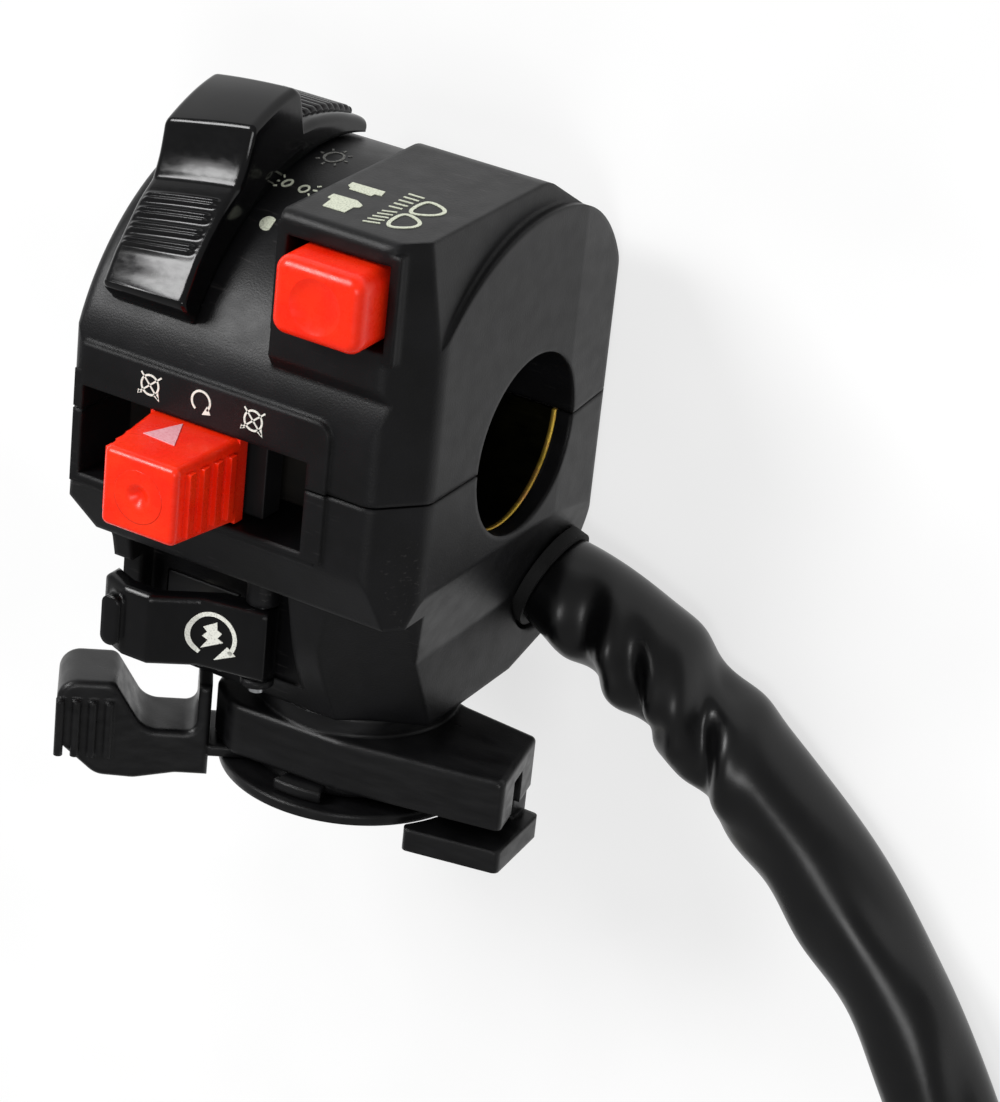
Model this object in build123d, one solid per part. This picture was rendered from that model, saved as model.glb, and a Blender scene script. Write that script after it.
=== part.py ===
from build123d import *
import math
import os

# Left-hand handlebar switch cluster with a thumb choke lever. Millimetres.
# X runs along the handlebar, Y points to the light lever, Z points out of the control face.
# The origin is the middle of the handlebar bore.

# Handlebar bore
bore_r = 11.15
tube_wall = 2.0
half_width = 23.5
left_width = 22.0

# Casing
wall = 2.2
part_gap = 0.3
drum_r = 28.6
drum_flat = 1.7
front_z = drum_r - drum_flat
rear_depth = 22.0
drum_front_round = 12.0
drum_rim_round = 1.8
rear_round = 21.0
overrun = 6.0
slack = 0.25
air = 0.3
hair = 0.1

# Casing seen along Y
corner_run = 4.6
corner_fall = 5.6
corner_round = 2.5
left_round = 2.0
rear_bevel_z = 9.0
rear_bevel_run = 1.0
rear_left_round = 3.0
rear_right_round = 3.0

# Box that holds the dimmer button
box_wide = 18.9
box_top = 31.5
box_skirt_y = 14.2
box_skirt_fall = 2.4
box_skirt_slope = 1.5
box_edge_round = 1.2
box_back_z = 1.8
box_back_round = 5.0
box_rear_y = 24.6
box_rear_z = 13.0
box_lean_y = 15.0
box_lean_run = 1.7
box_left_lean = 0.4

# Lower half, seen from the side
bulk_front_y = 9.0
bulk_low_y = 15.5
bulk_low_z = 24.6
bulk_round = 6.0
neck_top_z = 22.9
neck_mid_y = 25.5
neck_mid_z = 20.4
neck_mid_round = 30.0
neck_low_y = 34.5
neck_front_z = 15.6
neck_back_z = 9.0
neck_rear_y = 31.2
rear_low_round = 3.0

# Lower half, seen from the front
bulk_left_y = 11.5
neck_left_x = 17.7
neck_left_y = 16.6
neck_right_inset = 3.7
neck_right_y = 24.0
bulk_right_y = 12.0
flank_round = 2.0
neck_corner_inset = 13.0
neck_corner_run = 3.4
neck_side_run = 3.2
neck_side_fall = 2.8

# Kill switch slot and its raised bezel
slot_left_inset = 2.3
slot_left = left_width - slot_left_inset
slot_right = 10.8
slot_top = 3.3
slot_bottom = 7.8
slot_wall = 1.5
slot_depth = 11.4
bezel_rise = 0.5
bezel_right = 13.4
bezel_top = 8.6
bezel_round = 1.8
bezel_nub = 0.9
nub_height = 1.6
nub_depth = 3.0

# Kill knob, carrier, contact board, bridge and detent
knob_base_x = 12.2
knob_base_y = 10.5
knob_front_x = 9.8
knob_front_y = 9.6
knob_height = 10.2
knob_neck = 1.6
knob_edge_round = 0.9
knob_dish_r = 7.0
knob_dish_depth = 0.8
knob_rib_count = 4
knob_rib_wide = 1.1
knob_rib_proud = 0.6
knob_stem_x = 7.0
knob_stem_y = 6.0
carrier_half_x = 7.8
carrier_thick = 3.4
carrier_front_gap = 1.6
board_thick = 1.4
board_margin = 0.5
bridge_half_x = 3.4
bridge_half_y = 1.6
bridge_thick = 0.5
kill_ball_r = 1.2
kill_spring_wire = 0.28
kill_spring_r = 0.8
kill_spring_turns = 3
kill_spring_length = 4.4

# Dimmer button, switch body, spring and terminals
button_side = 5.2
button_wide = 11.5
button_low = 19.2
button_high = 28.4
button_gap = 0.5
pocket_extra_left = 0.7
button_proud = 4.6
button_depth = 12.0
button_edge_round = 1.5
button_side_round = 1.8
button_wall = 1.6
button_dish_r = 8.0
button_dish_depth = 0.7
dimmer_travel = 3.0
plunger_r = 1.7
plunger_length = 11.0
body_front_z = 10.4
body_back_z = 3.4
body_margin = 0.9
terminal_count = 3
terminal_wide = 1.4
terminal_thick = 0.5
terminal_long = 2.2
terminal_pitch = 3.2
dimmer_spring_r = 2.4
dimmer_spring_wire = 0.3
dimmer_spring_turns = 6
pocket_wall = 1.3

# Light lever that turns about the bar
lever_left = 17.8
lever_right = 6.5
lever_gap = 0.5
light_swing = 26.0
lever_tip_angle = 58.5
lever_tip_back_angle = 61.0
lever_tip_rise = 4.8
lever_pad_low_rise = 5.3
lever_pad_rise = 6.6
lever_pad_low_angle = 50.0
lever_pad_high_angle = 38.5
lever_saddle_rise = 5.2
lever_saddle_angle = 32.0
lever_crest_rise = 8.2
lever_crest_angle = 26.3
lever_block_rise = 9.6
lever_block_front_angle = 23.9
lever_block_back_angle = 11.0
lever_left_fall = 2.0
lever_left_skew = 3.0
lever_tail_root_rise = 4.4
lever_tail_mid_rise = 3.5
lever_tail_rise = 2.1
lever_tail_angle = 17.0
lever_knurl_root_rise = 5.6
lever_knurl_mid_rise = 4.6
lever_knurl_rise = 3.3
lever_knurl_angle = 14.5
lever_knurl_mid_angle = 2.0
lever_knurl_inset = 3.2
lever_knurl_lead = 1.0
lever_ridge_pairs = 4
lever_ridge_pitch = 3.0
lever_ridge_step = 2.5
lever_ridge_r = 0.42
lever_ridge_inset = 1.5
web_half_x = 1.5
web_left = 12.0
web_angle = 17.0
web_half_angle = 3.0
web_slot_margin = 0.4
carrier_r_in = 22.2
carrier_r_out = 25.4
carrier_half_angle = 9.0
carrier_left_inset = 3.8
carrier_right = 8.0
wafer_thick = 1.2
wafer_r_in = 14.6
wafer_r_out = 24.9
wafer_half_angle = 36.0
light_ball_r = 1.3
light_detent_r = 23.8
light_spring_r = 0.85
light_spring_wire = 0.28
light_spring_turns = 3
light_spring_length = 4.6
light_contact_wide = 2.0
light_contact_thick = 0.4
light_contact_half_angle = 6.0

# Start button, hinge pin and micro switch
recess_left = 15.2
recess_notch_y = 19.8
recess_notch_z = 19.8
recess_right = 6.9
recess_top = 16.6
recess_bottom = 30.7
recess_floor_z = 17.2
start_left = 16.4
start_right = 3.7
start_high = 20.4
start_low = 29.6
start_left_z = 25.2
start_crown_x = 12.8
start_front_z = 26.8
start_kink_x = 9.2
start_dip_x = 4.4
start_dip_z = 23.3
start_right_z = 21.7
start_thick = 2.6
start_edge_round = 0.8
start_rib_x = 14.0
start_rib_wide = 2.4
start_rib_high = 6.4
start_rib_proud = 0.8
start_pin_x = 1.8
start_pin_z = 19.6
start_pin_r = 1.0
start_knuckle_r = 2.0
pin_fit = 0.05
micro_x = 8.0
micro_half_x = 5.2
micro_half_y = 3.2
micro_deep = 6.0
micro_plunger_r = 1.3
micro_plunger_in = 3.6
micro_spring_r = 0.8
micro_spring_wire = 0.25
micro_spring_turns = 3

# Choke: bracket, lever, cover, pivot screw, washer, keeper
choke_x = 6.0
choke_z = 3.0
boss_r = 12.5
bar_top = 37.0
bar_bottom = 43.5
bar_front_z = 16.4
bar_left_x = 9.4
bar_left_z = 8.0
bar_corner_x = 8.0
bar_corner_z = 12.6
bar_front_x = 3.4
bar_bend_x = 11.5
bar_bend_z = 15.8
bar_end_x = 31.6
bar_end_z = 11.6
bar_end_back_x = 28.8
bar_end_back_z = 0.9
bar_back_x = 17.0
bar_back_z = 2.0
bar_round = 4.0
bar_tip_round = 0.8
bar_edge_round = 0.7
post_r = 3.2
post_fit = 0.05
plate_gap = 0.3
plate_thick = 1.3
plate_r = 12.5
washer_thick = 0.3
washer_r = 6.6
cover_r = 16.3
cover_thick = 1.3
choke_screw_r = 1.9
choke_screw_head_r = 4.0
choke_screw_head = 2.2
choke_screw_long = 9.0
arm_angle = 146.0
arm_half_wide = 4.5
wall_in_r = 17.6
wall_out_r = 19.2
wall_top = 35.7
saddle_top = 42.1
saddle_root_round = 1.5
saddle_end_r = 25.5
saddle_round = 3.0
tab_thick = 6.8
tab_out_r = 36.0
tab_top = 36.0
tab_round = 2.6
tab_heel_y = 44.2
tab_toe_r = 31.0
tab_low = 48.7
arm_low_r = 26.4
arm_low = 48.9
arm_waist_r = 21.5
arm_waist = 47.9
arm_low_round = 3.0
arm_edge_round = 0.7
side_share = 0.99
lug_r_out = 15.0
lug_angle = 85.0
lug_half_angle = 12.0
tab_rib_count = 4
tab_rib_pitch = 1.95
tab_rib_r = 0.55
tab_rib_high = 7.6
tab_rib_top = 38.4
slot_cable_wide = 3.0
slot_cable_long = 9.0
slot_cable_z = 5.6
keeper_x = 19.6
keeper_top = 46.6
keeper_low = 49.5
keeper_wall = 3.2
keeper_back_inset = 8.2
keeper_front_inset = 0.4
keeper_screw_r = 1.2
keeper_screw_head_r = 2.2
keeper_screw_head = 1.2
keeper_screw_long = 8.0
bracket_shank_r = 1.2
bracket_hole_r = 1.5
bracket_screw_head_r = 2.6
bracket_screw_head = 1.6
bracket_screw_long = 13.0
bracket_boss_long = 7.0
bracket_screw_reach = 8.2
bracket_screw_angles = (10.0, 190.0)

# Bar liner, clamp screws and inserts
liner_thick = 0.5
liner_inset = 2.3
liner_left_inset = 0.8
screw_left_x = 13.0
screw_right_x = 7.5
screw_z = 16.6
screw_r = 2.0
screw_hole_r = 2.2
screw_head_r = 3.6
screw_head = 2.6
screw_sink_r = 3.9
screw_seat_y = 14.0
screw_reach_y = 9.0
screw_socket_r = 1.6
screw_socket = 1.6
boss_wall = 1.3
insert_r = 2.9
insert_long = 7.0
insert_base_y = 2.2
tongue_inset = 5.9
tongue_half_x = 2.6
tongue_z = 19.2
tongue_thick = 1.6
tongue_deep = 4.0
tongue_socket_wall = 1.4

# Cross recess of the small screws, as shares of the head's radius
cross_long_share = 0.6
cross_wide_share = 0.14
cross_deep_share = 0.3

# Loom: gland, sleeve, tails and plug
sleeve_d = 14.0
sleeve_floor_gap = 0.02
gland_flange_r = 6.7
gland_flange = 1.6
gland_barrel_r = 4.8
gland_bore_r = 3.4
gland_barrel_long = 4.2
gland_fit = 0.05
gland_seat_gap = 0.3
tail_r = 0.9
tail_count = 5
tail_pitch = 2.2
plug_wide = 20.0
plug_deep = 16.0
plug_high = 10.0
plug_round = 1.2
plug_latch_wide = 6.0
plug_latch_long = 9.0
plug_latch_high = 1.6
socket_half_x = 1.3
socket_deep = 9.0
socket_cols = 5
socket_rows = 2
socket_pitch_y = 3.4
socket_pitch_z = 4.2
contact_half = 0.8
contact_long = 7.0

# The loom's route on the floor plane as seen from the control face, from the gland to the tails.
# Its first number is counted from the casing's right face.
loom_route = (
    (-1.9, -24.0),
    (11.4, -28.6),
    (25.7, -38.6),
    (43.1, -53.2),
    (56.9, -71.0),
    (66.1, -92.0),
    (69.1, -118.0),
    (62.1, -143.4),
    (42.9, -161.0),
    (17.5, -167.6),
    (-8.3, -164.2),
    (-32.3, -154.6),
)
bend_share = 0.45
tails_long = 16.0


def outline(*corners):
    """Closed face through corners (u, v, radius of the rounded corner)."""
    edges = []
    leaves = []
    entries = []
    mids = []
    for i, (u, v, r) in enumerate(corners):
        here = Vector(u, v)
        before = (Vector(*corners[i - 1][:2]) - here).normalized()
        after = (Vector(*corners[(i + 1) % len(corners)][:2]) - here).normalized()
        half = math.radians(before.get_angle(after)) / 2
        reach = r / math.tan(half)
        entries.append(here + before * reach)
        leaves.append(here + after * reach)
        mids.append(here + (before + after).normalized() * (r / math.sin(half) - r))
    for i, corner in enumerate(corners):
        if corner[2] > 0:
            edges.append(ThreePointArc(entries[i], mids[i], leaves[i]))
        edges.append(Line(leaves[i], entries[(i + 1) % len(corners)]))
    return make_face(edges)


def along_x(face, x0, x1):
    """Face in (y, z) drawn out from x0 to x1."""
    return extrude(Plane.YZ.offset(x0) * face, amount=x1 - x0)


def along_y(face, y0, y1):
    """Face in (x, z) drawn out from y0 to y1."""
    plane = Plane(origin=(0, y1, 0), x_dir=(1, 0, 0), z_dir=(0, -1, 0))
    return extrude(plane * face, amount=y1 - y0)


def along_z(face, z0, z1):
    """Face in (x, y) drawn out from z0 to z1."""
    return extrude(Plane.XY.offset(z0) * face, amount=z1 - z0)


def block(x0, x1, y0, y1, z0, z1):
    """Box between two opposite corners."""
    return along_z(outline((x0, y0, 0), (x1, y0, 0), (x1, y1, 0), (x0, y1, 0)), z0, z1)


def rod_x(radius, x0, x1, y, z):
    return along_x(Pos(y, z) * Circle(radius), x0, x1)


def rod_y(radius, y0, y1, x, z):
    return along_y(Pos(x, z) * Circle(radius), y0, y1)


def rod_z(radius, z0, z1, x, y):
    return along_z(Pos(x, y) * Circle(radius), z0, z1)


def polar(radius, degrees):
    """Point (y, z) at an angle from +Y towards +Z."""
    angle = math.radians(degrees)
    return radius * math.cos(angle), radius * math.sin(angle)


def over_drum(rise, degrees):
    """Point (y, z) above the drum's round surface."""
    return polar(drum_r + rise, degrees)


def sector(r_in, r_out, a0, a1):
    """Ring sector face in (y, z) between two angles."""
    mid = (a0 + a1) / 2
    return make_face(
        [
            ThreePointArc(polar(r_out, a0), polar(r_out, mid), polar(r_out, a1)),
            Line(polar(r_out, a1), polar(r_in, a1)),
            ThreePointArc(polar(r_in, a1), polar(r_in, mid), polar(r_in, a0)),
            Line(polar(r_in, a0), polar(r_out, a0)),
        ]
    )


def coil(radius, wire, turns, start, end):
    """Compression spring whose outer ends lie at start and end."""
    axis = Vector(*end) - Vector(*start)
    height = axis.length - wire * 2
    helix = Helix(pitch=height / turns, height=height, radius=radius)
    section = Plane(origin=helix @ 0, z_dir=helix % 0) * Circle(wire)
    body = sweep(section, path=helix)
    origin = Vector(*start) + axis.normalized() * wire
    return Plane(origin=origin, z_dir=axis.normalized()) * body


def plan_face(inset):
    """Casing outline in (x, z)."""
    side = half_width - inset
    left = -(left_width - inset)
    front = front_z - inset
    rear = -(rear_depth - inset)
    return outline(
        (left, rear, rear_left_round),
        (left, front, left_round),
        (side - corner_run, front, corner_round),
        (side, front - corner_fall, corner_round),
        (side, -rear_bevel_z, 0),
        (side - rear_bevel_run, rear, rear_right_round),
    )


def drum_face(inset):
    """Upper casing outline in (y, z): flat front, round top, flat rear."""
    radius = drum_r - inset
    front = front_z - inset
    rear = rear_depth - inset
    front_y = math.sqrt(radius**2 - front**2)
    rear_y = math.sqrt(radius**2 - rear**2)
    face = make_face(
        [
            Line((0, -rear), (0, front)),
            Line((0, front), (front_y, front)),
            ThreePointArc((front_y, front), (radius, 0), (rear_y, -rear)),
            Line((rear_y, -rear), (0, -rear)),
        ]
    )
    by_depth = face.vertices().filter_by(lambda v: v.Y > 0 and v.X > 0)
    face = fillet(by_depth, drum_front_round)
    at_rear = face.vertices().filter_by(lambda v: v.Y < 0 and v.X > 0)
    return fillet(at_rear, rear_round - inset)


def rim_form(inset):
    """Round body about the bore whose left rim is rounded."""
    left = -(left_width - inset)
    radius = drum_r - inset
    face = outline(
        (left, 0, 0),
        (half_width + overrun, 0, 0),
        (half_width + overrun, radius, 0),
        (left, radius, drum_rim_round),
    )
    return revolve(Plane.XY * face, Axis.X)


def box_face(inset):
    """Dimmer box outline in (y, z)."""
    front = front_z - inset
    top = box_top - inset
    return outline(
        (box_skirt_y + inset, front, 0),
        (top, front, box_edge_round),
        (top, -box_back_z, box_back_round),
        (box_rear_y - inset, -box_rear_z, 0),
        (box_skirt_fall, -box_rear_z, 0),
        (box_skirt_fall, box_rear_z, 0),
        (box_skirt_y + inset - box_skirt_fall, front - box_skirt_slope, 0),
    )


def box_front_face(inset):
    """Dimmer box outline in (x, y)."""
    left = box_left() + inset
    right = half_width - inset
    return outline(
        (left - box_left_lean, 0, 0),
        (right, 0, 0),
        (right, box_lean_y, 0),
        (right - box_lean_run, box_top, 0),
        (left, box_top, 0),
    )


def upper_form(inset):
    """Upper casing as a solid, drawn in by an inset."""
    side = half_width - inset
    drum = along_x(drum_face(inset), -left_width - overrun, side) & along_y(plan_face(inset), 0, drum_r)
    drum = drum & rim_form(inset)
    box = along_x(box_face(inset), box_left() - box_left_lean + inset, side)
    box = box & along_y(plan_face(inset), 0, box_top)
    box = box & along_z(box_front_face(inset), -rear_depth, front_z)
    return drum + box


def lower_side_face(inset):
    """Lower casing outline in (y, z)."""
    front = front_z - inset
    rear = -(rear_depth - inset)
    low = -(neck_low_y - inset)
    return outline(
        (0, rear, 0),
        (0, front, 0),
        (-bulk_front_y, front, bulk_round),
        (-bulk_low_y, bulk_low_z - inset, 0),
        (-bulk_low_y, neck_top_z - inset, 0),
        (-neck_mid_y, neck_mid_z - inset, neck_mid_round),
        (low, neck_front_z - inset, 0),
        (low, -neck_back_z, 0),
        (-(neck_rear_y - inset), rear, rear_low_round),
    )


def lower_front_face(inset):
    """Lower casing outline in (x, y)."""
    side = half_width - inset
    far_left = -(left_width - inset)
    left = -(neck_left_x - inset)
    right = half_width - neck_right_inset - inset
    low = -(neck_low_y - inset)
    return outline(
        (far_left, 0, 0),
        (far_left, -bulk_left_y, flank_round),
        (left, -neck_left_y, flank_round),
        (left, low, 0),
        (right, low, 0),
        (right, -neck_right_y, flank_round),
        (side, -bulk_right_y, flank_round),
        (side, 0, 0),
    )


def neck_corner(inset):
    """Wedge that takes the front right corner off the neck."""
    front = neck_front_z - inset
    right = half_width - neck_right_inset - inset
    face = outline(
        (neck_corner_x(), front, 0),
        (neck_corner_x() + neck_corner_run, front - neck_side_fall, 0),
        (right, front - neck_side_fall - neck_side_run, 0),
        (half_width + overrun, front - neck_side_fall - neck_side_run, 0),
        (half_width + overrun, front_z + overrun, 0),
        (neck_corner_x(), front_z + overrun, 0),
    )
    low = Plane(origin=(0, -neck_low_y, 0), x_dir=(1, 0, 0), z_dir=(0, -1, 0))
    high = Plane(origin=(0, -bulk_low_y, bulk_low_z - neck_front_z), x_dir=(1, 0, 0), z_dir=(0, -1, 0))
    return loft([low * face, high * face])


def lower_form(inset):
    """Lower casing as a solid, drawn in by an inset."""
    side = half_width - inset
    body = along_x(lower_side_face(inset), -left_width - overrun, side)
    body = body & along_z(lower_front_face(inset), -rear_depth, front_z)
    body = body & along_y(plan_face(inset), -neck_low_y, 0)
    return body - neck_corner(inset)


def box_left():
    return half_width - box_wide


def button_right():
    return half_width - button_side


def button_left():
    return button_right() - button_wide


def tongue_x():
    return half_width - tongue_inset


def neck_corner_x():
    return half_width - neck_corner_inset


def liner_ends():
    return -left_width + liner_left_inset, half_width - liner_inset


def bar_cut(radius):
    return rod_x(radius, -half_width - overrun, half_width + overrun, 0, 0)


def slot_block(y0, y1, grow, z0, z1):
    """Kill switch slot between two heights, grown sideways."""
    return block(-slot_left - grow, slot_right + grow, y0, y1, z0, z1)


def screw_places():
    return [(-screw_left_x, -screw_z), (screw_right_x, -screw_z)]


def sleeve_axis_z():
    """Height of the loom's centre, lying on the floor plane."""
    return -rear_depth + sleeve_d / 2 + sleeve_floor_gap


def exit_plane(back):
    """Plane square to the loom where it leaves, moved back along it."""
    start, after = [Vector(*p) for p in loom_points()[:2]]
    way = (after - start).normalized()
    return Plane(origin=start - way * back, z_dir=way)


def bezel(y0, y1):
    """Raised plate round the kill slot, between two heights."""
    face = outline(
        (-left_width + left_round, -bezel_top, 0),
        (bezel_right, -bezel_top, 0),
        (bezel_right, bezel_top, bezel_round),
        (-left_width + left_round, bezel_top, 0),
    )
    plate = along_z(face, front_z - wall, front_z + bezel_rise)
    return plate & block(-half_width, half_width, y0, y1, 0, front_z + overrun)


def dimmer_pocket(grow, z0, z1):
    return block(
        button_left() - button_gap - pocket_extra_left - grow,
        button_right() + button_gap + grow,
        button_low - button_gap - grow,
        button_high + button_gap + grow,
        z0,
        z1,
    )


def make_upper_shell():
    shell = upper_form(0) - (upper_form(wall) - bar_cut(bore_r + tube_wall))
    shell += bezel(0, bezel_top)
    shell += slot_block(slot_top, slot_top + slot_wall, slot_wall, front_z - slot_depth, front_z)
    shell += slot_block(0, slot_top, slot_wall, front_z - slot_depth, front_z)
    pocket_back = front_z - button_depth + dimmer_travel
    shell += dimmer_pocket(pocket_wall, pocket_back, front_z - hair)
    for x, z in screw_places():
        boss = rod_y(insert_r + boss_wall, 0, insert_base_y + insert_long + boss_wall, x, z)
        shell += boss & upper_form(0)
    shell -= bar_cut(bore_r)
    shell -= slot_block(-slot_bottom, slot_top, 0, 0, front_z + overrun)
    shell -= dimmer_pocket(0, body_front_z, front_z + overrun)
    reach = light_swing / 2 + web_half_angle + web_slot_margin * 2
    shell -= along_x(
        sector(drum_r - wall - overrun / 2, drum_r + overrun / 2, web_angle - light_swing / 2 - reach,
               web_angle - light_swing / 2 + reach),
        -web_left - web_half_x - web_slot_margin,
        -web_left + web_half_x + web_slot_margin,
    )
    for x, z in screw_places():
        shell -= rod_y(screw_hole_r, -overrun, insert_base_y + insert_long, x, z)
        shell -= rod_y(insert_r, insert_base_y, insert_base_y + insert_long, x, z)
    tongue = block(tongue_x() - tongue_half_x, tongue_x() + tongue_half_x, -tongue_deep, wall,
                   tongue_z - tongue_thick / 2, tongue_z + tongue_thick / 2)
    shell = shell - block(-half_width, half_width, -overrun, part_gap / 2, -front_z, front_z + overrun)
    root = block(tongue_x() - tongue_half_x, tongue_x() + tongue_half_x, 0, wall + tube_wall,
                 tongue_z - tongue_thick / 2, front_z - wall + hair)
    root = root & upper_form(hair)
    return shell + (root - block(-half_width, half_width, -overrun, part_gap / 2, 0, front_z)) + tongue


def recess_cut(grow, z0):
    return block(
        -recess_left - grow,
        recess_right + grow,
        -recess_bottom - grow,
        -recess_top + grow,
        z0,
        front_z + overrun,
    )


def recess_notch():
    """Opening in the recess's left wall, under the bar's free end."""
    return block(-left_width - overrun, -recess_left + hair, -recess_bottom, -recess_notch_y, recess_notch_z,
                 front_z + overrun)


def make_lower_shell():
    outer = lower_form(0)
    shell = outer - (lower_form(wall) - bar_cut(bore_r + tube_wall + liner_thick))
    shell += bezel(-bezel_top, 0) & (outer + block(-half_width, bezel_right, -bezel_top, 0, front_z - hair,
                                                    front_z + bezel_rise))
    shell += slot_block(-slot_bottom - slot_wall, 0, slot_wall, front_z - slot_depth, front_z)
    shell += recess_cut(wall, recess_floor_z - wall) & outer
    for x, z in screw_places():
        shell += rod_y(screw_sink_r + boss_wall, -neck_low_y, 0, x, z) & outer
    shell += gland_boss() & outer
    for x, z in bracket_screws():
        shell += rod_y(bracket_shank_r + boss_wall, -neck_low_y + hair, -neck_low_y + bracket_boss_long, x, z)
    socket_half = tongue_half_x + tongue_socket_wall
    socket = block(tongue_x() - socket_half, tongue_x() + socket_half,
                   -tongue_deep - tongue_socket_wall, 0, tongue_z - tongue_thick / 2 - tongue_socket_wall,
                   front_z)
    shell += socket & lower_form(hair)
    shell -= bar_cut(bore_r)
    shell -= rod_x(bore_r + liner_thick, *liner_ends(), 0, 0)
    shell -= slot_block(-slot_bottom, slot_top, 0, 0, front_z + overrun)
    shell -= recess_cut(0, recess_floor_z)
    shell -= recess_notch()
    shell += rod_y(start_knuckle_r, -start_high + air, -recess_top + hair, start_pin_x, start_pin_z)
    shell += rod_y(start_knuckle_r, -recess_bottom - hair, -start_low - air, start_pin_x, start_pin_z)
    for x, z in screw_places():
        shell -= rod_y(screw_hole_r, -screw_seat_y - overrun, overrun, x, z)
        shell -= rod_y(screw_sink_r, -neck_low_y - overrun, -screw_seat_y, x, z)
    bore_long = gland_barrel_long + gland_flange + overrun * 2
    shell -= exit_plane(gland_flange) * extrude(Circle(sleeve_d / 2 + gland_seat_gap), amount=bore_long)
    shell -= exit_plane(-overrun) * extrude(Circle(gland_barrel_r + gland_fit), amount=-bore_long)
    shell -= block(tongue_x() - tongue_half_x - slack, tongue_x() + tongue_half_x + slack, -tongue_deep - slack,
                   overrun, tongue_z - tongue_thick / 2 - slack, tongue_z + tongue_thick / 2 + slack)
    shell -= rod_y(start_pin_r, -recess_bottom - wall, -recess_top + wall, start_pin_x, start_pin_z)
    shell -= micro_cut()
    for x, z in bracket_screws():
        shell -= rod_y(bracket_shank_r, -neck_low_y - overrun, -neck_low_y + bracket_boss_long + overrun, x, z)
    nub = block(-left_width - bezel_nub, -left_width + hair, -nub_height, 0,
                front_z - nub_depth * 2, front_z - nub_depth)
    cut = block(-half_width - overrun, half_width + overrun, -part_gap / 2, overrun,
                -front_z, front_z + overrun)
    return shell + (nub - cut) - cut


def gland_boss():
    """Thick seat inside the neck for the gland's barrel."""
    plane = exit_plane(gland_barrel_long + gland_flange)
    return plane * extrude(Circle(gland_barrel_r + wall), amount=gland_barrel_long + gland_flange + overrun)


def micro_cut():
    """Window in the recess floor for the micro switch's nose."""
    y = -(start_high + start_low) / 2
    return block(-micro_x - micro_half_x, -micro_x + micro_half_x, y - micro_half_y, y + micro_half_y,
                 recess_floor_z - wall - hair, recess_floor_z + hair)


def bracket_screws():
    places = []
    for degrees in bracket_screw_angles:
        angle = math.radians(degrees)
        x = choke_x + bracket_screw_reach * math.cos(angle)
        z = choke_z + bracket_screw_reach * math.sin(angle)
        places.append((x, z))
    return places


def make_bar_liner():
    left, right = liner_ends()
    ring = rod_x(bore_r + liner_thick, left + hair, right - hair, 0, 0) - bar_cut(bore_r)
    return ring & block(-half_width, half_width, -half_width, -part_gap / 2, -half_width, half_width)


def make_housing_screws():
    screws = []
    for x, z in screw_places():
        shank = rod_y(screw_r, -screw_seat_y, screw_reach_y, x, z)
        head = rod_y(screw_head_r, -screw_seat_y - screw_head, -screw_seat_y, x, z)
        hexagon = Pos(x, z) * RegularPolygon(screw_socket_r, 6)
        socket = along_y(hexagon, -screw_seat_y - screw_head, -screw_seat_y - screw_head + screw_socket)
        screws.append(shank + head - socket)
    return Compound(screws)


def make_screw_inserts():
    inserts = []
    for x, z in screw_places():
        outer = rod_y(insert_r, insert_base_y, insert_base_y + insert_long, x, z)
        inserts.append(outer - rod_y(screw_r, -overrun, insert_base_y + insert_long + overrun, x, z))
    return Compound(inserts)


def slot_middle():
    return (slot_right - slot_left) / 2


def make_kill_knob():
    middle = slot_middle()
    half_y = knob_base_y / 2
    centre_y = (slot_top - slot_bottom) / 2
    root_z = front_z - knob_neck
    front = front_z + bezel_rise + knob_height
    base = Plane.XY.offset(front_z) * Pos(middle, centre_y) * Rectangle(knob_base_x, knob_base_y)
    top = Plane.XY.offset(front) * Pos(middle, centre_y) * Rectangle(knob_front_x, knob_front_y)
    knob = loft([base, top])
    knob = fillet(knob.edges().filter_by(lambda e: e.center().Z > front_z + hair), knob_edge_round)
    knob += block(middle - knob_base_x / 2, middle + knob_base_x / 2, centre_y - half_y, centre_y + half_y,
                  root_z, front_z)
    rib_pitch = (knob_height - knob_rib_wide) / knob_rib_count
    for side in (-1, 1):
        for i in range(knob_rib_count):
            z = front_z + knob_rib_wide + rib_pitch * i
            lean = (knob_base_x - knob_front_x) / 2 * (z - front_z) / knob_height
            x = middle + side * (knob_base_x / 2 - lean)
            rib = block(x - knob_rib_proud, x + knob_rib_proud, centre_y - knob_front_y / 2 + knob_edge_round,
                        centre_y + knob_front_y / 2 - knob_edge_round, z, z + knob_rib_wide)
            knob += rib
    knob += block(middle - knob_stem_x / 2, middle + knob_stem_x / 2, centre_y - knob_stem_y / 2,
                  centre_y + knob_stem_y / 2, carrier_front(), root_z)
    dish = Pos(middle, centre_y, front + knob_dish_r - knob_dish_depth) * Sphere(knob_dish_r)
    return knob - dish


def carrier_front():
    """Front face of the sliding carrier behind the knob."""
    return front_z - knob_neck - carrier_front_gap


def make_kill_carrier():
    middle = slot_middle()
    front = carrier_front()
    body = block(middle - carrier_half_x, middle + carrier_half_x, -slot_bottom + slack, slot_top - slack,
                 front - carrier_thick, front)
    ball = kill_ball_place()
    hole = rod_y(kill_ball_r + hair, ball[1] - kill_spring_length - kill_ball_r, slot_top, ball[0], ball[2])
    return body - hole


def kill_ball_place():
    return (slot_middle(), slot_top - hair - kill_ball_r, carrier_front() - carrier_thick / 2)


def make_kill_detent_ball():
    return Pos(*kill_ball_place()) * Sphere(kill_ball_r)


def make_kill_detent_spring():
    x, y, z = kill_ball_place()
    low = y - kill_ball_r - kill_spring_length
    return coil(kill_spring_r, kill_spring_wire, kill_spring_turns, (x, low, z), (x, y - kill_ball_r, z))


def board_front():
    return front_z - slot_depth + board_thick + board_margin


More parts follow.
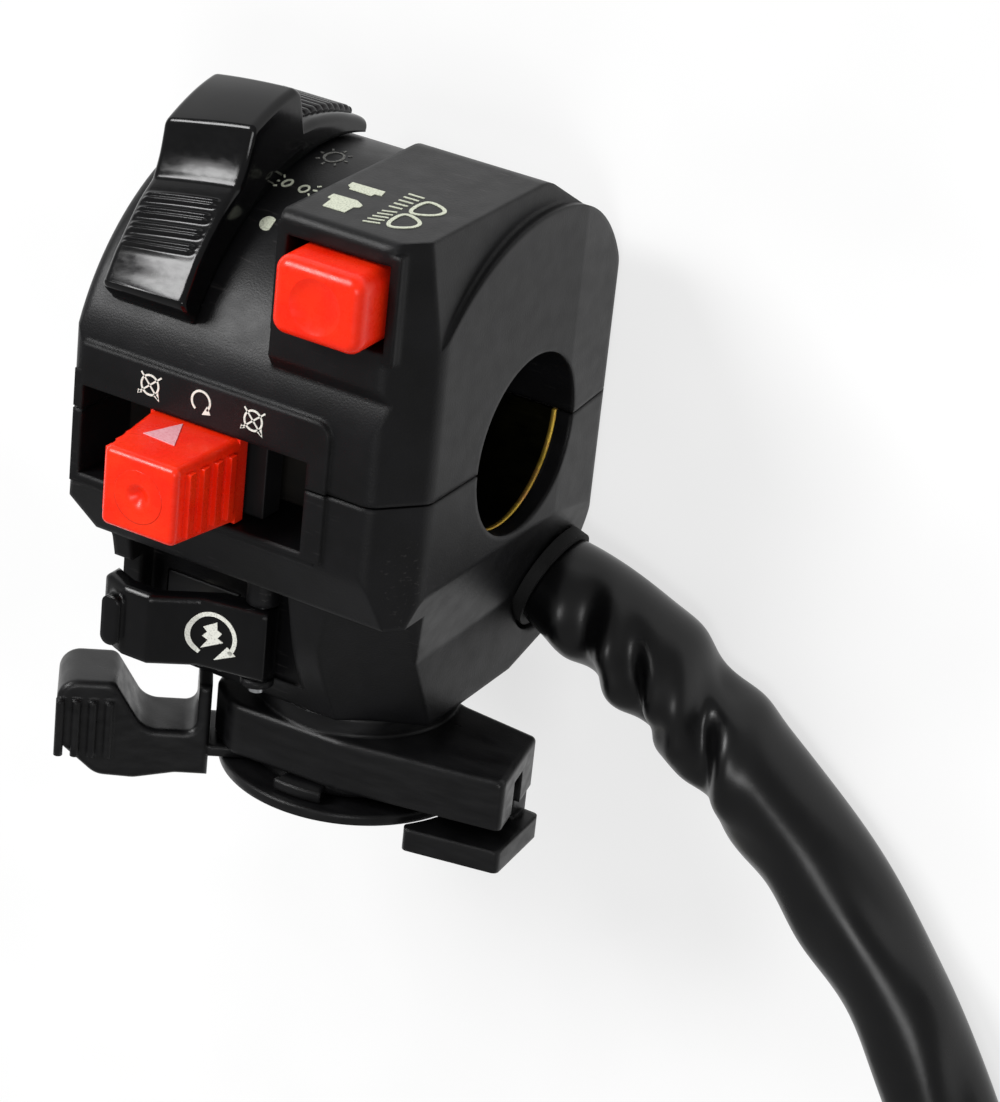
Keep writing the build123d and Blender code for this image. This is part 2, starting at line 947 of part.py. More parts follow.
def make_kill_board():
    back = board_front() - board_thick
    return block(-slot_left, slot_right, -slot_bottom, slot_top, back, board_front())


def make_kill_bridge():
    """Spring contact that joins two tracks of the board."""
    middle = slot_middle()
    centre_y = (slot_top - slot_bottom) / 2
    back = board_front() + hair
    seat = carrier_front() - carrier_thick
    plate = block(middle - bridge_half_x, middle + bridge_half_x, centre_y - bridge_half_y,
                  centre_y + bridge_half_y, seat - bridge_thick, seat)
    for side in (-1, 1):
        x = middle + side * (bridge_half_x - bridge_thick)
        plate += block(x - bridge_thick, x + bridge_thick, centre_y - bridge_half_y, centre_y + bridge_half_y,
                       back, seat)
    return plate


def button_middle():
    return (button_left() + button_right()) / 2, (button_low + button_high) / 2


def make_dimmer_button():
    x, y = button_middle()
    wide = button_right() - button_left()
    high = button_high - button_low
    face = outline(
        (button_left(), button_low, button_side_round),
        (button_right(), button_low, button_side_round),
        (button_right(), button_high, button_side_round),
        (button_left(), button_high, button_side_round),
    )
    front = front_z + button_proud
    back = front_z - button_depth + dimmer_travel * 2
    body = along_z(face, back, front)
    body = fillet(body.faces().sort_by(Axis.Z)[-1].edges(), button_edge_round)
    hollow = block(button_left() + button_wall, button_right() - button_wall, button_low + button_wall,
                   button_high - button_wall, back, front - button_wall * 2)
    body -= hollow
    body += rod_z(plunger_r, front - button_wall * 2 - plunger_length, front - button_wall * 2, x, y)
    dish = Pos(x, y, front + button_dish_r - button_dish_depth) * Sphere(button_dish_r)
    return body - dish


def make_dimmer_switch_body():
    x, y = button_middle()
    top = box_top - wall
    body = block(box_left() + wall + hair, button_right() + body_margin, button_low, top,
                 body_back_z, body_front_z)
    return body - rod_z(plunger_r + slack, body_back_z + wall, body_front_z, x, y)


def make_dimmer_terminals():
    x, y = button_middle()
    pieces = []
    for i in range(terminal_count):
        centre = x + (i - (terminal_count - 1) / 2) * terminal_pitch
        pieces.append(block(centre - terminal_wide / 2, centre + terminal_wide / 2, y - terminal_thick,
                            y + terminal_thick, body_back_z - terminal_long, body_back_z))
    return Compound(pieces)


def make_dimmer_spring():
    x, y = button_middle()
    far = front_z + button_proud - button_wall * 2
    return coil(dimmer_spring_r, dimmer_spring_wire, dimmer_spring_turns, (x, y, body_front_z + hair),
                (x, y, far - hair))


def lever_profile(fall, skew):
    """Light lever outline in (y, z), lowered by a fall and turned forward by a skew at its saddle."""
    inner = drum_r + lever_gap
    points = [
        over_drum(lever_tip_rise - fall, lever_tip_angle),
        over_drum(lever_pad_low_rise - fall, lever_pad_low_angle),
        over_drum(lever_pad_rise - fall, lever_pad_high_angle + skew),
        over_drum(lever_saddle_rise - fall, lever_saddle_angle + skew),
        over_drum(lever_crest_rise - fall, lever_crest_angle + skew),
        over_drum(lever_block_rise - fall, lever_block_front_angle + skew / 2),
    ]
    mid = (lever_tip_back_angle - lever_tail_angle) / 2
    block_mid = (lever_block_front_angle + lever_block_back_angle) / 2
    block_back = over_drum(lever_block_rise - fall, lever_block_back_angle)
    tail_root = over_drum(lever_tail_root_rise, lever_block_back_angle)
    tail_end = over_drum(lever_tail_rise, -lever_tail_angle)
    return make_face(
        [
            Spline(points[:5]),
            Line(points[4], points[5]),
            ThreePointArc(points[5], over_drum(lever_block_rise - fall, block_mid), block_back),
            Line(block_back, tail_root),
            ThreePointArc(tail_root, over_drum(lever_tail_mid_rise, -lever_knurl_mid_angle), tail_end),
            Line(tail_end, polar(inner, -lever_tail_angle)),
            ThreePointArc(polar(inner, -lever_tail_angle), polar(inner, mid),
                          polar(inner, lever_tip_back_angle)),
            Line(polar(inner, lever_tip_back_angle), points[0]),
        ]
    )


def lever_knurl():
    """Raised pad on the lever's tail."""
    root = lever_block_back_angle + lever_knurl_lead
    low = drum_r + lever_tail_rise - lever_gap
    return make_face(
        [
            ThreePointArc(over_drum(lever_knurl_root_rise, root),
                          over_drum(lever_knurl_mid_rise, -lever_knurl_mid_angle),
                          over_drum(lever_knurl_rise, -lever_knurl_angle)),
            Line(over_drum(lever_knurl_rise, -lever_knurl_angle), polar(low, -lever_knurl_angle)),
            ThreePointArc(polar(low, -lever_knurl_angle), polar(low, 0), polar(low, root)),
            Line(polar(low, root), over_drum(lever_knurl_root_rise, root)),
        ]
    )


def make_light_lever():
    left = Plane.YZ.offset(-lever_left) * lever_profile(lever_left_fall, lever_left_skew)
    right = Plane.YZ.offset(-lever_right) * lever_profile(0, 0)
    body = loft([left, right], ruled=True)
    body += along_x(lever_knurl(), -lever_left, -lever_right - lever_knurl_inset)
    for i in range(lever_ridge_pairs):
        for step in (0, 1):
            start = lever_pad_high_angle + lever_ridge_pitch * i
            body += lever_ridge(start + step * lever_ridge_pitch / lever_ridge_step)
    web = sector(carrier_r_out, drum_r + lever_gap + hair, web_angle - web_half_angle,
                 web_angle + web_half_angle)
    return body + along_x(web, -web_left - web_half_x, -web_left + web_half_x)


def lever_ridge(degrees):
    """Grip ridge that follows the pad's fall to the left."""
    share = (degrees - lever_pad_high_angle) / (lever_pad_low_angle - lever_pad_high_angle)
    rise = lever_pad_rise - share * (lever_pad_rise - lever_pad_low_rise)
    y0, z0 = over_drum(rise - lever_left_fall, degrees + lever_left_skew)
    y1, z1 = over_drum(rise, degrees)
    start = Vector(-lever_left, y0, z0)
    way = Vector(-lever_right, y1, z1) - start
    rod = Plane(origin=start, z_dir=way) * extrude(Circle(lever_ridge_r), amount=way.length)
    keep = along_x(Circle(drum_r + lever_block_rise), -lever_left + lever_ridge_inset,
                   -lever_right - lever_ridge_inset)
    return rod & keep


def make_light_carrier():
    a0 = web_angle - carrier_half_angle
    a1 = web_angle + carrier_half_angle
    body = along_x(sector(carrier_r_in, carrier_r_out, a0, a1), -left_width + carrier_left_inset, -carrier_right)
    y, z = polar(light_detent_r, web_angle)
    x = light_ball_x()
    body -= rod_x(light_ball_r + hair, -half_width, x + light_ball_r + light_spring_length, y, z)
    return body


def light_ball_x():
    return -left_width + wall + wafer_thick + hair + light_ball_r


def make_light_detent_ball():
    y, z = polar(light_detent_r, web_angle)
    return Pos(light_ball_x(), y, z) * Sphere(light_ball_r)


def make_light_detent_spring():
    y, z = polar(light_detent_r, web_angle)
    start = light_ball_x() + light_ball_r
    return coil(light_spring_r, light_spring_wire, light_spring_turns, (start, y, z),
                (start + light_spring_length, y, z))


def make_light_wafer():
    x0 = -left_width + wall
    face = sector(wafer_r_in, wafer_r_out, -wafer_half_angle, wafer_half_angle)
    return along_x(face, x0, x0 + wafer_thick)


def make_light_contact():
    """Bridge under the carrier that sweeps the wafer's tracks."""
    a0 = web_angle - light_contact_half_angle
    a1 = web_angle + light_contact_half_angle
    outer = carrier_r_in
    face = sector(outer - light_contact_wide, outer, a0, a1)
    near = -left_width + wall + wafer_thick + hair
    foot = along_x(face, near, near + light_contact_thick)
    strap = sector(outer - light_contact_thick, outer, a0, a1)
    return foot + along_x(strap, near, -carrier_right - light_contact_wide)


def recess_rod(radius, extra):
    return rod_y(radius, -start_low - extra, -start_high + extra, start_pin_x, start_pin_z)


def start_profile():
    """Front line of the start bar in (x, z), from its free end to its hinge."""
    return (
        (-start_left, start_left_z),
        (-start_crown_x, start_front_z),
        (-start_kink_x, start_front_z),
        (-start_dip_x, start_dip_z),
        (start_right, start_right_z),
    )


def make_start_button():
    """Long bar with a thumb rib at its free end and a hinge knuckle at the other."""
    front = [(x, z, 0) for x, z in start_profile()]
    back = [(x, z - start_thick, 0) for x, z in reversed(start_profile())]
    body = along_y(outline(*front, *back), -start_low, -start_high)
    reach = (start_low - start_high) / 2 - hair
    rims = body.edges().filter_by(lambda e: abs(e.center().Y - start_middle_y()) > reach)
    body = fillet(rims.filter_by(lambda e: e.center().Z > start_right_z + hair), start_edge_round)
    y = start_middle_y()
    half = start_rib_high / 2
    side = start_rib_wide / 2
    rib = outline(
        (-start_rib_x - side, y - half, side - hair),
        (-start_rib_x + side, y - half, side - hair),
        (-start_rib_x + side, y + half, side - hair),
        (-start_rib_x - side, y + half, side - hair),
    )
    body += along_z(rib, start_front_z - start_thick / 2, start_front_z + start_rib_proud)
    body += recess_rod(start_knuckle_r, 0)
    return body - recess_rod(start_pin_r + pin_fit, overrun)


def make_start_pin():
    return rod_y(start_pin_r, -recess_bottom - wall / 2, -recess_top + wall / 2, start_pin_x, start_pin_z)


def start_middle_y():
    return -(start_high + start_low) / 2


def make_start_micro_switch():
    """Micro switch behind the recess floor, with a bore for its plunger."""
    y = start_middle_y()
    body = block(-micro_x - micro_half_x + slack, -micro_x + micro_half_x - slack, y - micro_half_y + slack,
                 y + micro_half_y - slack, recess_floor_z - wall - micro_deep, recess_floor_z)
    bore = rod_z(micro_plunger_r + slack / 2, recess_floor_z - micro_plunger_in - wall, recess_floor_z,
                 -micro_x, y)
    return body - bore


def make_start_plunger():
    y = start_middle_y()
    return rod_z(micro_plunger_r, recess_floor_z - micro_plunger_in / 2, plunger_tip_z(), -micro_x, y)


def plunger_tip_z():
    """Just behind the back face of the bar at the plunger's right edge."""
    share = (start_kink_x - micro_x + micro_plunger_r) / (start_kink_x - start_dip_x)
    return start_front_z - start_thick - share * (start_front_z - start_dip_z) - air


def make_start_spring():
    y = start_middle_y()
    low = recess_floor_z - micro_plunger_in - wall
    return coil(micro_spring_r, micro_spring_wire, micro_spring_turns, (-micro_x, y, low + hair),
                (-micro_x, y, recess_floor_z - micro_plunger_in / 2 - hair))


def bracket_face():
    """Choke bracket outline in (x, z)."""
    return outline(
        (-bar_left_x, bar_left_z, bar_round),
        (-bar_corner_x, bar_corner_z, bar_round / 2),
        (-bar_front_x, bar_front_z, bar_round),
        (bar_bend_x, bar_bend_z, bar_round * 2),
        (bar_end_x, bar_end_z, bar_tip_round),
        (bar_end_back_x, -bar_end_back_z, bar_tip_round),
        (bar_back_x, -bar_back_z, bar_round),
        (choke_x + boss_r / 2, choke_z - boss_r, bar_round),
        (choke_x - boss_r / 2, choke_z - boss_r, bar_round),
    )


def make_choke_bracket():
    body = along_y(bracket_face(), -bar_bottom, -bar_top)
    body = fillet(body.edges().filter_by(lambda e: abs(e.center().Y + bar_top) < hair), bar_edge_round)
    body += rod_y(boss_r, -bar_top - hair, -neck_low_y, choke_x, choke_z)
    body += rod_y(post_r, -cover_top(), -bar_bottom + hair, choke_x, choke_z)
    cut = block(bar_end_x - slot_cable_long, bar_end_x + overrun, -bar_bottom - overrun, -bar_top + overrun,
                slot_cable_z - slot_cable_wide / 2, slot_cable_z + slot_cable_wide / 2)
    body -= cut & block(-half_width, bar_end_x + overrun, -bar_bottom - overrun, -bar_top - wall, 0, front_z)
    body -= rod_y(choke_screw_r - hair, -bar_bottom - overrun, -cover_low() + choke_screw_long,
                  choke_x, choke_z)
    for x, z in bracket_screws():
        body -= rod_y(bracket_hole_r, -bar_bottom - overrun, -neck_low_y, x, z)
        body -= rod_y(bracket_screw_head_r + hair, -bar_bottom - overrun,
                      -bar_bottom + bracket_screw_head + hair, x, z)
    x, z = keeper_screw_place()
    return body - rod_y(keeper_screw_r - hair, -bar_bottom - overrun, -keeper_low + keeper_screw_long, x, z)


def plate_top():
    return bar_bottom + plate_gap


def plate_low():
    return plate_top() + plate_thick


def cover_top():
    return plate_low() + washer_thick


def cover_low():
    return cover_top() + cover_thick


def turned(degrees):
    """Frame at the choke pivot whose x axis points at an angle in (x, z)."""
    return Pos(choke_x, choke_z) * Rot(0, 0, degrees)


def plate_sector(r_in, r_out, degrees, half):
    """Ring sector face in (x, z) round the choke pivot."""
    arcs = []
    ends = []
    for r in (r_out, r_in):
        ends.append([(r * math.cos(math.radians(a)), r * math.sin(math.radians(a))) for a in (-half, 0, half)])
    arcs.append(ThreePointArc(*ends[0]))
    arcs.append(Line(ends[0][2], ends[1][2]))
    arcs.append(ThreePointArc(ends[1][2], ends[1][1], ends[1][0]))
    arcs.append(Line(ends[1][0], ends[0][0]))
    return turned(degrees) * make_face(arcs)


def arm_plane():
    """Upright plane through the choke pivot along the lever's arm."""
    angle = math.radians(arm_angle)
    way = (math.cos(angle), 0, math.sin(angle))
    return Plane(origin=(choke_x, 0, choke_z), x_dir=way, z_dir=(-math.sin(angle), 0, math.cos(angle)))


def arm_face():
    """Lever arm seen square on: upright wall, saddle and thumb tab, in (radius, y)."""
    return outline(
        (wall_in_r, -arm_waist, 0),
        (arm_waist_r, -arm_waist, arm_low_round),
        (arm_low_r, -arm_low, arm_low_round),
        (tab_toe_r, -tab_low, arm_low_round),
        (tab_out_r, -tab_heel_y, tab_round),
        (tab_out_r, -tab_top, tab_round),
        (tab_out_r - tab_thick, -tab_top, tab_round / 2),
        (saddle_end_r, -saddle_top, saddle_round),
        (wall_out_r, -saddle_top, saddle_root_round),
        (wall_out_r, -wall_top, 0),
        (wall_in_r, -wall_top, 0),
    )


def make_choke_lever():
    """Thumb tab, saddle and upright wall on a flat plate that turns on the pivot."""
    arm = extrude(arm_plane() * arm_face(), amount=arm_half_wide, both=True)
    rims = arm.faces().filter_by(lambda f: abs(f.normal_at().dot(arm_plane().z_dir)) > side_share)
    arm = fillet(rims.edges(), arm_edge_round)
    body = along_y(Pos(choke_x, choke_z) * Circle(plate_r), -plate_low(), -plate_top())
    link = block(0, wall_in_r + hair, -plate_low(), -plate_top(), -arm_half_wide, arm_half_wide)
    body += Pos(choke_x, 0, choke_z) * Rot(0, -arm_angle, 0) * link
    lug = plate_sector(plate_r - hair * 2, lug_r_out, lug_angle, lug_half_angle)
    body += along_y(lug, -plate_low(), -plate_top()) + arm
    middle = tab_out_r - tab_thick / 2
    for i in range(tab_rib_count):
        reach = middle + (i - (tab_rib_count - 1) / 2) * tab_rib_pitch
        rib = rod_y(tab_rib_r, -tab_rib_top - tab_rib_high, -tab_rib_top, 0, 0)
        x, z = arm_point(reach, arm_half_wide)
        body += Pos(x, 0, z) * rib
    return body - rod_y(post_r + post_fit, -plate_low() - overrun, -plate_top() + overrun, choke_x, choke_z)


def arm_point(reach, aside):
    """Place (x, z) at a distance along the arm and aside of it, towards the front."""
    angle = math.radians(arm_angle)
    x = choke_x + reach * math.cos(angle) + aside * math.sin(angle)
    z = choke_z + reach * math.sin(angle) - aside * math.cos(angle)
    return x, z


def make_choke_washer():
    ring = rod_y(washer_r, -cover_top(), -plate_low(), choke_x, choke_z)
    return ring - rod_y(post_r + slack, -cover_top() - overrun, -plate_low() + overrun, choke_x, choke_z)


def make_choke_cover():
    body = rod_y(cover_r, -cover_low(), -cover_top(), choke_x, choke_z)
    return body - rod_y(choke_screw_r + hair, -cover_low() - overrun, -cover_top() + overrun, choke_x, choke_z)


def make_choke_screw():
    shank = rod_y(choke_screw_r - hair, -cover_low(), -cover_low() + choke_screw_long, choke_x, choke_z)
    head = rod_y(choke_screw_head_r, -cover_low() - choke_screw_head, -cover_low(), choke_x, choke_z)
    return shank + head - cross_y(choke_x, choke_z, -cover_low() - choke_screw_head, choke_screw_head_r)


def cross_y(x, z, y, size):
    """Cross recess in a screw head that faces down."""
    long = size * cross_long_share
    wide = size * cross_wide_share
    deep = size * cross_deep_share
    bar = block(x - long, x + long, y, y + deep, z - wide, z + wide)
    return bar + block(x - wide, x + wide, y, y + deep, z - long, z + long)


def make_bracket_screws():
    screws = []
    for x, z in bracket_screws():
        low = -bar_bottom
        shank = rod_y(bracket_shank_r, low, low + bracket_screw_long, x, z)
        head = rod_y(bracket_screw_head_r, low, low + bracket_screw_head, x, z)
        screws.append(shank + head - cross_y(x, z, low, bracket_screw_head_r))
    return Compound(screws)


def keeper_outline():
    """Cable keeper in (x, z), under the bracket's free end."""
    fall = (bar_bend_z - bar_end_z) / (bar_end_x - bar_bend_x)
    front_left = bar_bend_z - fall * (keeper_x - bar_bend_x) - keeper_front_inset
    return outline(
        (keeper_x, front_left, bar_tip_round),
        (bar_end_x, bar_end_z - keeper_front_inset, bar_tip_round),
        (bar_end_x - keeper_front_inset * 2, bar_end_z - keeper_back_inset - keeper_wall, bar_tip_round),
        (keeper_x, bar_end_z - keeper_back_inset - keeper_wall, bar_tip_round),
    )


def keeper_screw_place():
    return keeper_x + keeper_wall * 2, bar_end_z - keeper_back_inset - keeper_wall / 2


def make_cable_keeper():
    floor = along_y(keeper_outline(), -keeper_low, -keeper_top)
    back_z = bar_end_z - keeper_back_inset
    rise = block(keeper_x, bar_end_back_x, -keeper_top - hair, -bar_bottom, back_z - keeper_wall, back_z)
    rise = rise & along_y(bracket_face(), -keeper_low, -bar_bottom)
    x, z = keeper_screw_place()
    keeper = floor + rise - rod_y(keeper_screw_r + hair, -keeper_low - overrun, -bar_bottom + overrun, x, z)
    return keeper - rod_y(cover_r + air, -keeper_low - overrun, -cover_top() + air, choke_x, choke_z)


def make_keeper_screw():
    x, z = keeper_screw_place()
    shank = rod_y(keeper_screw_r - hair, -keeper_low, -keeper_low + keeper_screw_long, x, z)
    head = rod_y(keeper_screw_head_r, -keeper_low - keeper_screw_head, -keeper_low, x, z)
    return shank + head - cross_y(x, z, -keeper_low - keeper_screw_head, keeper_screw_head_r)


def make_wire_gland():
    barrel = exit_plane(gland_flange) * extrude(Circle(gland_barrel_r), amount=-gland_barrel_long)
    flange = exit_plane(gland_flange) * extrude(Circle(gland_flange_r), amount=gland_flange)
    bore_long = overrun * 2 + gland_barrel_long + gland_flange
    bore = exit_plane(-overrun) * extrude(Circle(gland_bore_r), amount=-bore_long)
    return barrel + flange - bore


def loom_points():
    z = sleeve_axis_z()
    return [(half_width + x, y, z) for x, y in loom_route]


def loom_path():
    """Straight runs joined by arcs, each as large as its two runs allow."""
    points = [Vector(*p) for p in loom_points()]
    radii = []
    for i in range(1, len(points) - 1):
        before = points[i] - points[i - 1]
        after = points[i + 1] - points[i]
        turn = before.get_angle(after)
        short = min(before.length, after.length)
        radii.append(bend_share * short / math.tan(math.radians(turn) / 2))
    print("loom radii", [round(r, 1) for r in radii])
    return FilletPolyline(*points, radius=radii)


def make_loom_sleeve():
    path = loom_path()
    section = Plane(origin=path @ 0, z_dir=path % 0) * Circle(sleeve_d / 2)
    tube = sweep(section, path=path)
    print("loom length", round(path.length, 1), "volume share",
          round(tube.volume / (math.pi * sleeve_d**2 / 4 * path.length), 4))
    return tube


def end_plane(out):
    """Plane square to the far end of the loom, moved out along it."""
    points = [Vector(*p) for p in loom_points()]
    way = (points[-1] - points[-2]).normalized()
    return Plane(origin=points[-1] + way * out, x_dir=(0, 0, 1), z_dir=way)


def make_wire_tails():
    tails = []
    for i in range(tail_count):
        side = (i - (tail_count - 1) / 2) * tail_pitch
        tails.append(end_plane(0) * Pos(0, side) * extrude(Circle(tail_r), amount=tails_long))
    return Compound(tails)


def plug_centre_drop():
    """How far the plug's centre lies below the loom's centre, to rest on the floor."""
    return -(sleeve_d / 2 + sleeve_floor_gap) + plug_high / 2


def make_plug_body():
    face = Rectangle(plug_high, plug_wide)
    body = end_plane(tails_long) * Pos(plug_centre_drop(), 0) * extrude(face, amount=plug_deep)
    body = fillet(body.edges().filter_by(lambda e: e.length > plug_deep - hair and e.length < plug_deep + hair),
                  plug_round)
    latch_rise = plug_centre_drop() + plug_high / 2 + plug_latch_high / 2
    latch = Pos(latch_rise, 0) * Rectangle(plug_latch_high + hair, plug_latch_wide)
    body += end_plane(tails_long + plug_deep / 2 - plug_latch_long / 2) * extrude(latch, amount=plug_latch_long)
    for place in plug_sockets():
        hole = Pos(*place) * Rectangle(socket_half_x * 2, socket_half_x * 2)
        body -= end_plane(tails_long + plug_deep - socket_deep) * extrude(hole, amount=socket_deep)
    return body


def plug_sockets():
    places = []
    for row in range(socket_rows):
        for col in range(socket_cols):
            rise = (row - (socket_rows - 1) / 2) * socket_pitch_z
            side = (col - (socket_cols - 1) / 2) * socket_pitch_y
            places.append((plug_centre_drop() + rise, side))
    return places


def make_plug_contacts():
    pieces = []
    for place in plug_sockets():
        pin = Pos(*place) * Rectangle(contact_half * 2, contact_half * 2)
        pieces.append(end_plane(tails_long + plug_deep - socket_deep) * extrude(pin, amount=contact_long))
    return Compound(pieces)


pieces = {
    "upper_shell": make_upper_shell,
    "lower_shell": make_lower_shell,
    "bar_liner": make_bar_liner,
    "housing_screws": make_housing_screws,
    "screw_inserts": make_screw_inserts,
    "light_lever": make_light_lever,
    "light_carrier": make_light_carrier,
    "light_detent_ball": make_light_detent_ball,
    "light_detent_spring": make_light_detent_spring,
    "light_wafer": make_light_wafer,
    "light_contact": make_light_contact,
    "dimmer_button": make_dimmer_button,
    "dimmer_switch_body": make_dimmer_switch_body,
    "dimmer_terminals": make_dimmer_terminals,
    "dimmer_spring": make_dimmer_spring,
    "kill_knob": make_kill_knob,
    "kill_carrier": make_kill_carrier,
    "kill_detent_ball": make_kill_detent_ball,
    "kill_detent_spring": make_kill_detent_spring,
    "kill_board": make_kill_board,
    "kill_bridge": make_kill_bridge,
    "start_button": make_start_button,
    "start_pin": make_start_pin,
    "start_micro_switch": make_start_micro_switch,
    "start_plunger": make_start_plunger,
    "start_spring": make_start_spring,
    "choke_bracket": make_choke_bracket,
    "choke_lever": make_choke_lever,
    "choke_washer": make_choke_washer,
    "choke_cover": make_choke_cover,
    "choke_screw": make_choke_screw,
    "bracket_screws": make_bracket_screws,
    "cable_keeper": make_cable_keeper,
    "keeper_screw": make_keeper_screw,
    "wire_gland": make_wire_gland,
    "loom_sleeve": make_loom_sleeve,
    "wire_tails": make_wire_tails,
    "plug_body": make_plug_body,
    "plug_contacts": make_plug_contacts,
}

os.makedirs("parts", exist_ok=True)
for node, make in pieces.items():
    export_step(make(), f"parts/{node}.step")
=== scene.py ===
import math

import bmesh
import bpy
import numpy as np
from mathutils import Matrix, Vector


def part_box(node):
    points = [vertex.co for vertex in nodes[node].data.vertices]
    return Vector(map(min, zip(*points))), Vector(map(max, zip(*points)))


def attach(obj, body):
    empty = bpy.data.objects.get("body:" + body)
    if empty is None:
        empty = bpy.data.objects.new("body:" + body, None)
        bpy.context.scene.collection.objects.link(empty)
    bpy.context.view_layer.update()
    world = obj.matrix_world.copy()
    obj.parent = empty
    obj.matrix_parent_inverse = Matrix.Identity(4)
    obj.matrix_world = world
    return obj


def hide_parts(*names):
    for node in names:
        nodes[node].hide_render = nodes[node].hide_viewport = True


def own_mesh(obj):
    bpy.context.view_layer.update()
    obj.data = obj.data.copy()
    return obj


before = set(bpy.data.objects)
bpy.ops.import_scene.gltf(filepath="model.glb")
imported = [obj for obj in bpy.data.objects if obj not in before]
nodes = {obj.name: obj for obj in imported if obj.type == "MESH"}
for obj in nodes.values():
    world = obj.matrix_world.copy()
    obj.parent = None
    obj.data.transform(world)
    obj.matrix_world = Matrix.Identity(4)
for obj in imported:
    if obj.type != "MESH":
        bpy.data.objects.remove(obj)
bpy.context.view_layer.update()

# Left handlebar switch cluster. X runs along the bore, Y points to the light lever,
# Z points out of the face with the buttons. Sizes in this file are in millimetres until
# they reach a mesh, a light, the camera or a shader, which take metres.

MM = 0.001

# Faces of the part that the prints lie on, and the plane that it rests on.
DRUM_R = 28.6
BEZEL_Z = 27.4
BOX_TOP = 31.5
REAR_Z = -22.0
BAR_FACE = ((-16.4, 25.2), (-12.8, 26.8), (-9.2, 26.8), (-4.4, 23.3), (3.7, 21.7))
KNOB_TOP = ((26.9, 3.0), (37.6, 2.55))


# Camera

# The photograph's viewing angle, found by fitting the bore, the casing and the buttons.
CAMERA_TURN, CAMERA_RISE, CAMERA_ROLL = (math.radians(a) for a in (27.662, 26.368, 6.295))
CAMERA_FAR, PIXELS_PER_MM = 450.0, 8.506
CAMERA_RIGHT, CAMERA_UP = 16.222, -19.062
CAMERA_AIM = 1.0
PHOTO_WIDE = 1000
SENSOR = 36.0
FARTHEST = 100


def make_camera():
    """Camera on a sphere round the bore: its back axis from turn and rise, then rolled about it."""
    turn, rise, roll = CAMERA_TURN, CAMERA_RISE, CAMERA_ROLL
    back = Vector((math.sin(turn) * math.cos(rise), -math.cos(turn) * math.cos(rise), math.sin(rise)))
    level = Vector((math.cos(turn), math.sin(turn), 0))
    upright = back.cross(level)
    right = level * math.cos(roll) + upright * math.sin(roll)
    up = upright * math.cos(roll) - level * math.sin(roll)
    eye = Vector((CAMERA_AIM, 0, 0)) + back * CAMERA_FAR + right * CAMERA_RIGHT + up * CAMERA_UP
    right, up, back, eye = (Vector((p.x, p.z, -p.y)) for p in (right, up, back, eye))
    data = bpy.data.cameras.new("photo_camera")
    data.sensor_fit = "HORIZONTAL"
    data.sensor_width = SENSOR
    data.lens = SENSOR * PIXELS_PER_MM * CAMERA_FAR / PHOTO_WIDE
    data.clip_end = FARTHEST
    camera = bpy.data.objects.new("photo_camera", data)
    bpy.context.scene.collection.objects.link(camera)
    camera.matrix_world = Matrix(
        ((right.x, up.x, back.x, eye.x * MM), (right.y, up.y, back.y, eye.y * MM),
         (right.z, up.z, back.z, eye.z * MM), (0, 0, 0, 1)))
    bpy.context.scene.camera = camera


# Shader tools

def linear(hex_colour):
    """sRGB hex such as '1b1b1d' to linear RGBA."""
    values = [int(hex_colour[i:i + 2], 16) / 255 for i in (0, 2, 4)]
    return [v / 12.92 if v <= 0.04045 else ((v + 0.055) / 1.055) ** 2.4 for v in values] + [1.0]


def add(material, kind, inputs=None, stops=(), **settings):
    """Adds one shader node. An input takes a number or a colour, or a link: a node for its first
    output, or a node with the name of its output. Stops are the places and hex colours of a ramp."""
    node = material.node_tree.nodes.new(kind)
    for name, value in settings.items():
        setattr(node, name, value)
    for name, value in (inputs or {}).items():
        if isinstance(value, bpy.types.Node):
            value = (value, 0)
        if isinstance(value, tuple) and isinstance(value[0], bpy.types.Node):
            material.node_tree.links.new(value[0].outputs[value[1]], node.inputs[name])
        else:
            node.inputs[name].default_value = value
    for i, (place, colour) in enumerate(stops):
        elements = node.color_ramp.elements
        element = elements[i] if i < len(elements) else elements.new(place)
        element.position, element.color = place, linear(colour)
    return node


def blank(name):
    """Empty material, with the object coordinates that its patterns read."""
    material = bpy.data.materials.new(name)
    material.use_nodes = True
    material.node_tree.nodes.clear()
    coords = add(material, "ShaderNodeTexCoord")
    return material, (coords, "Object")


def across(size):
    """Scale of a noise whose specks are this many millimetres across."""
    return 1 / (size * MM)


# Materials

# Rounding that the polished finish gives an edge: on a CAD node, and on a piece that has its own.
EDGE_ROUND, FINE_ROUND = 0.9, 0.05


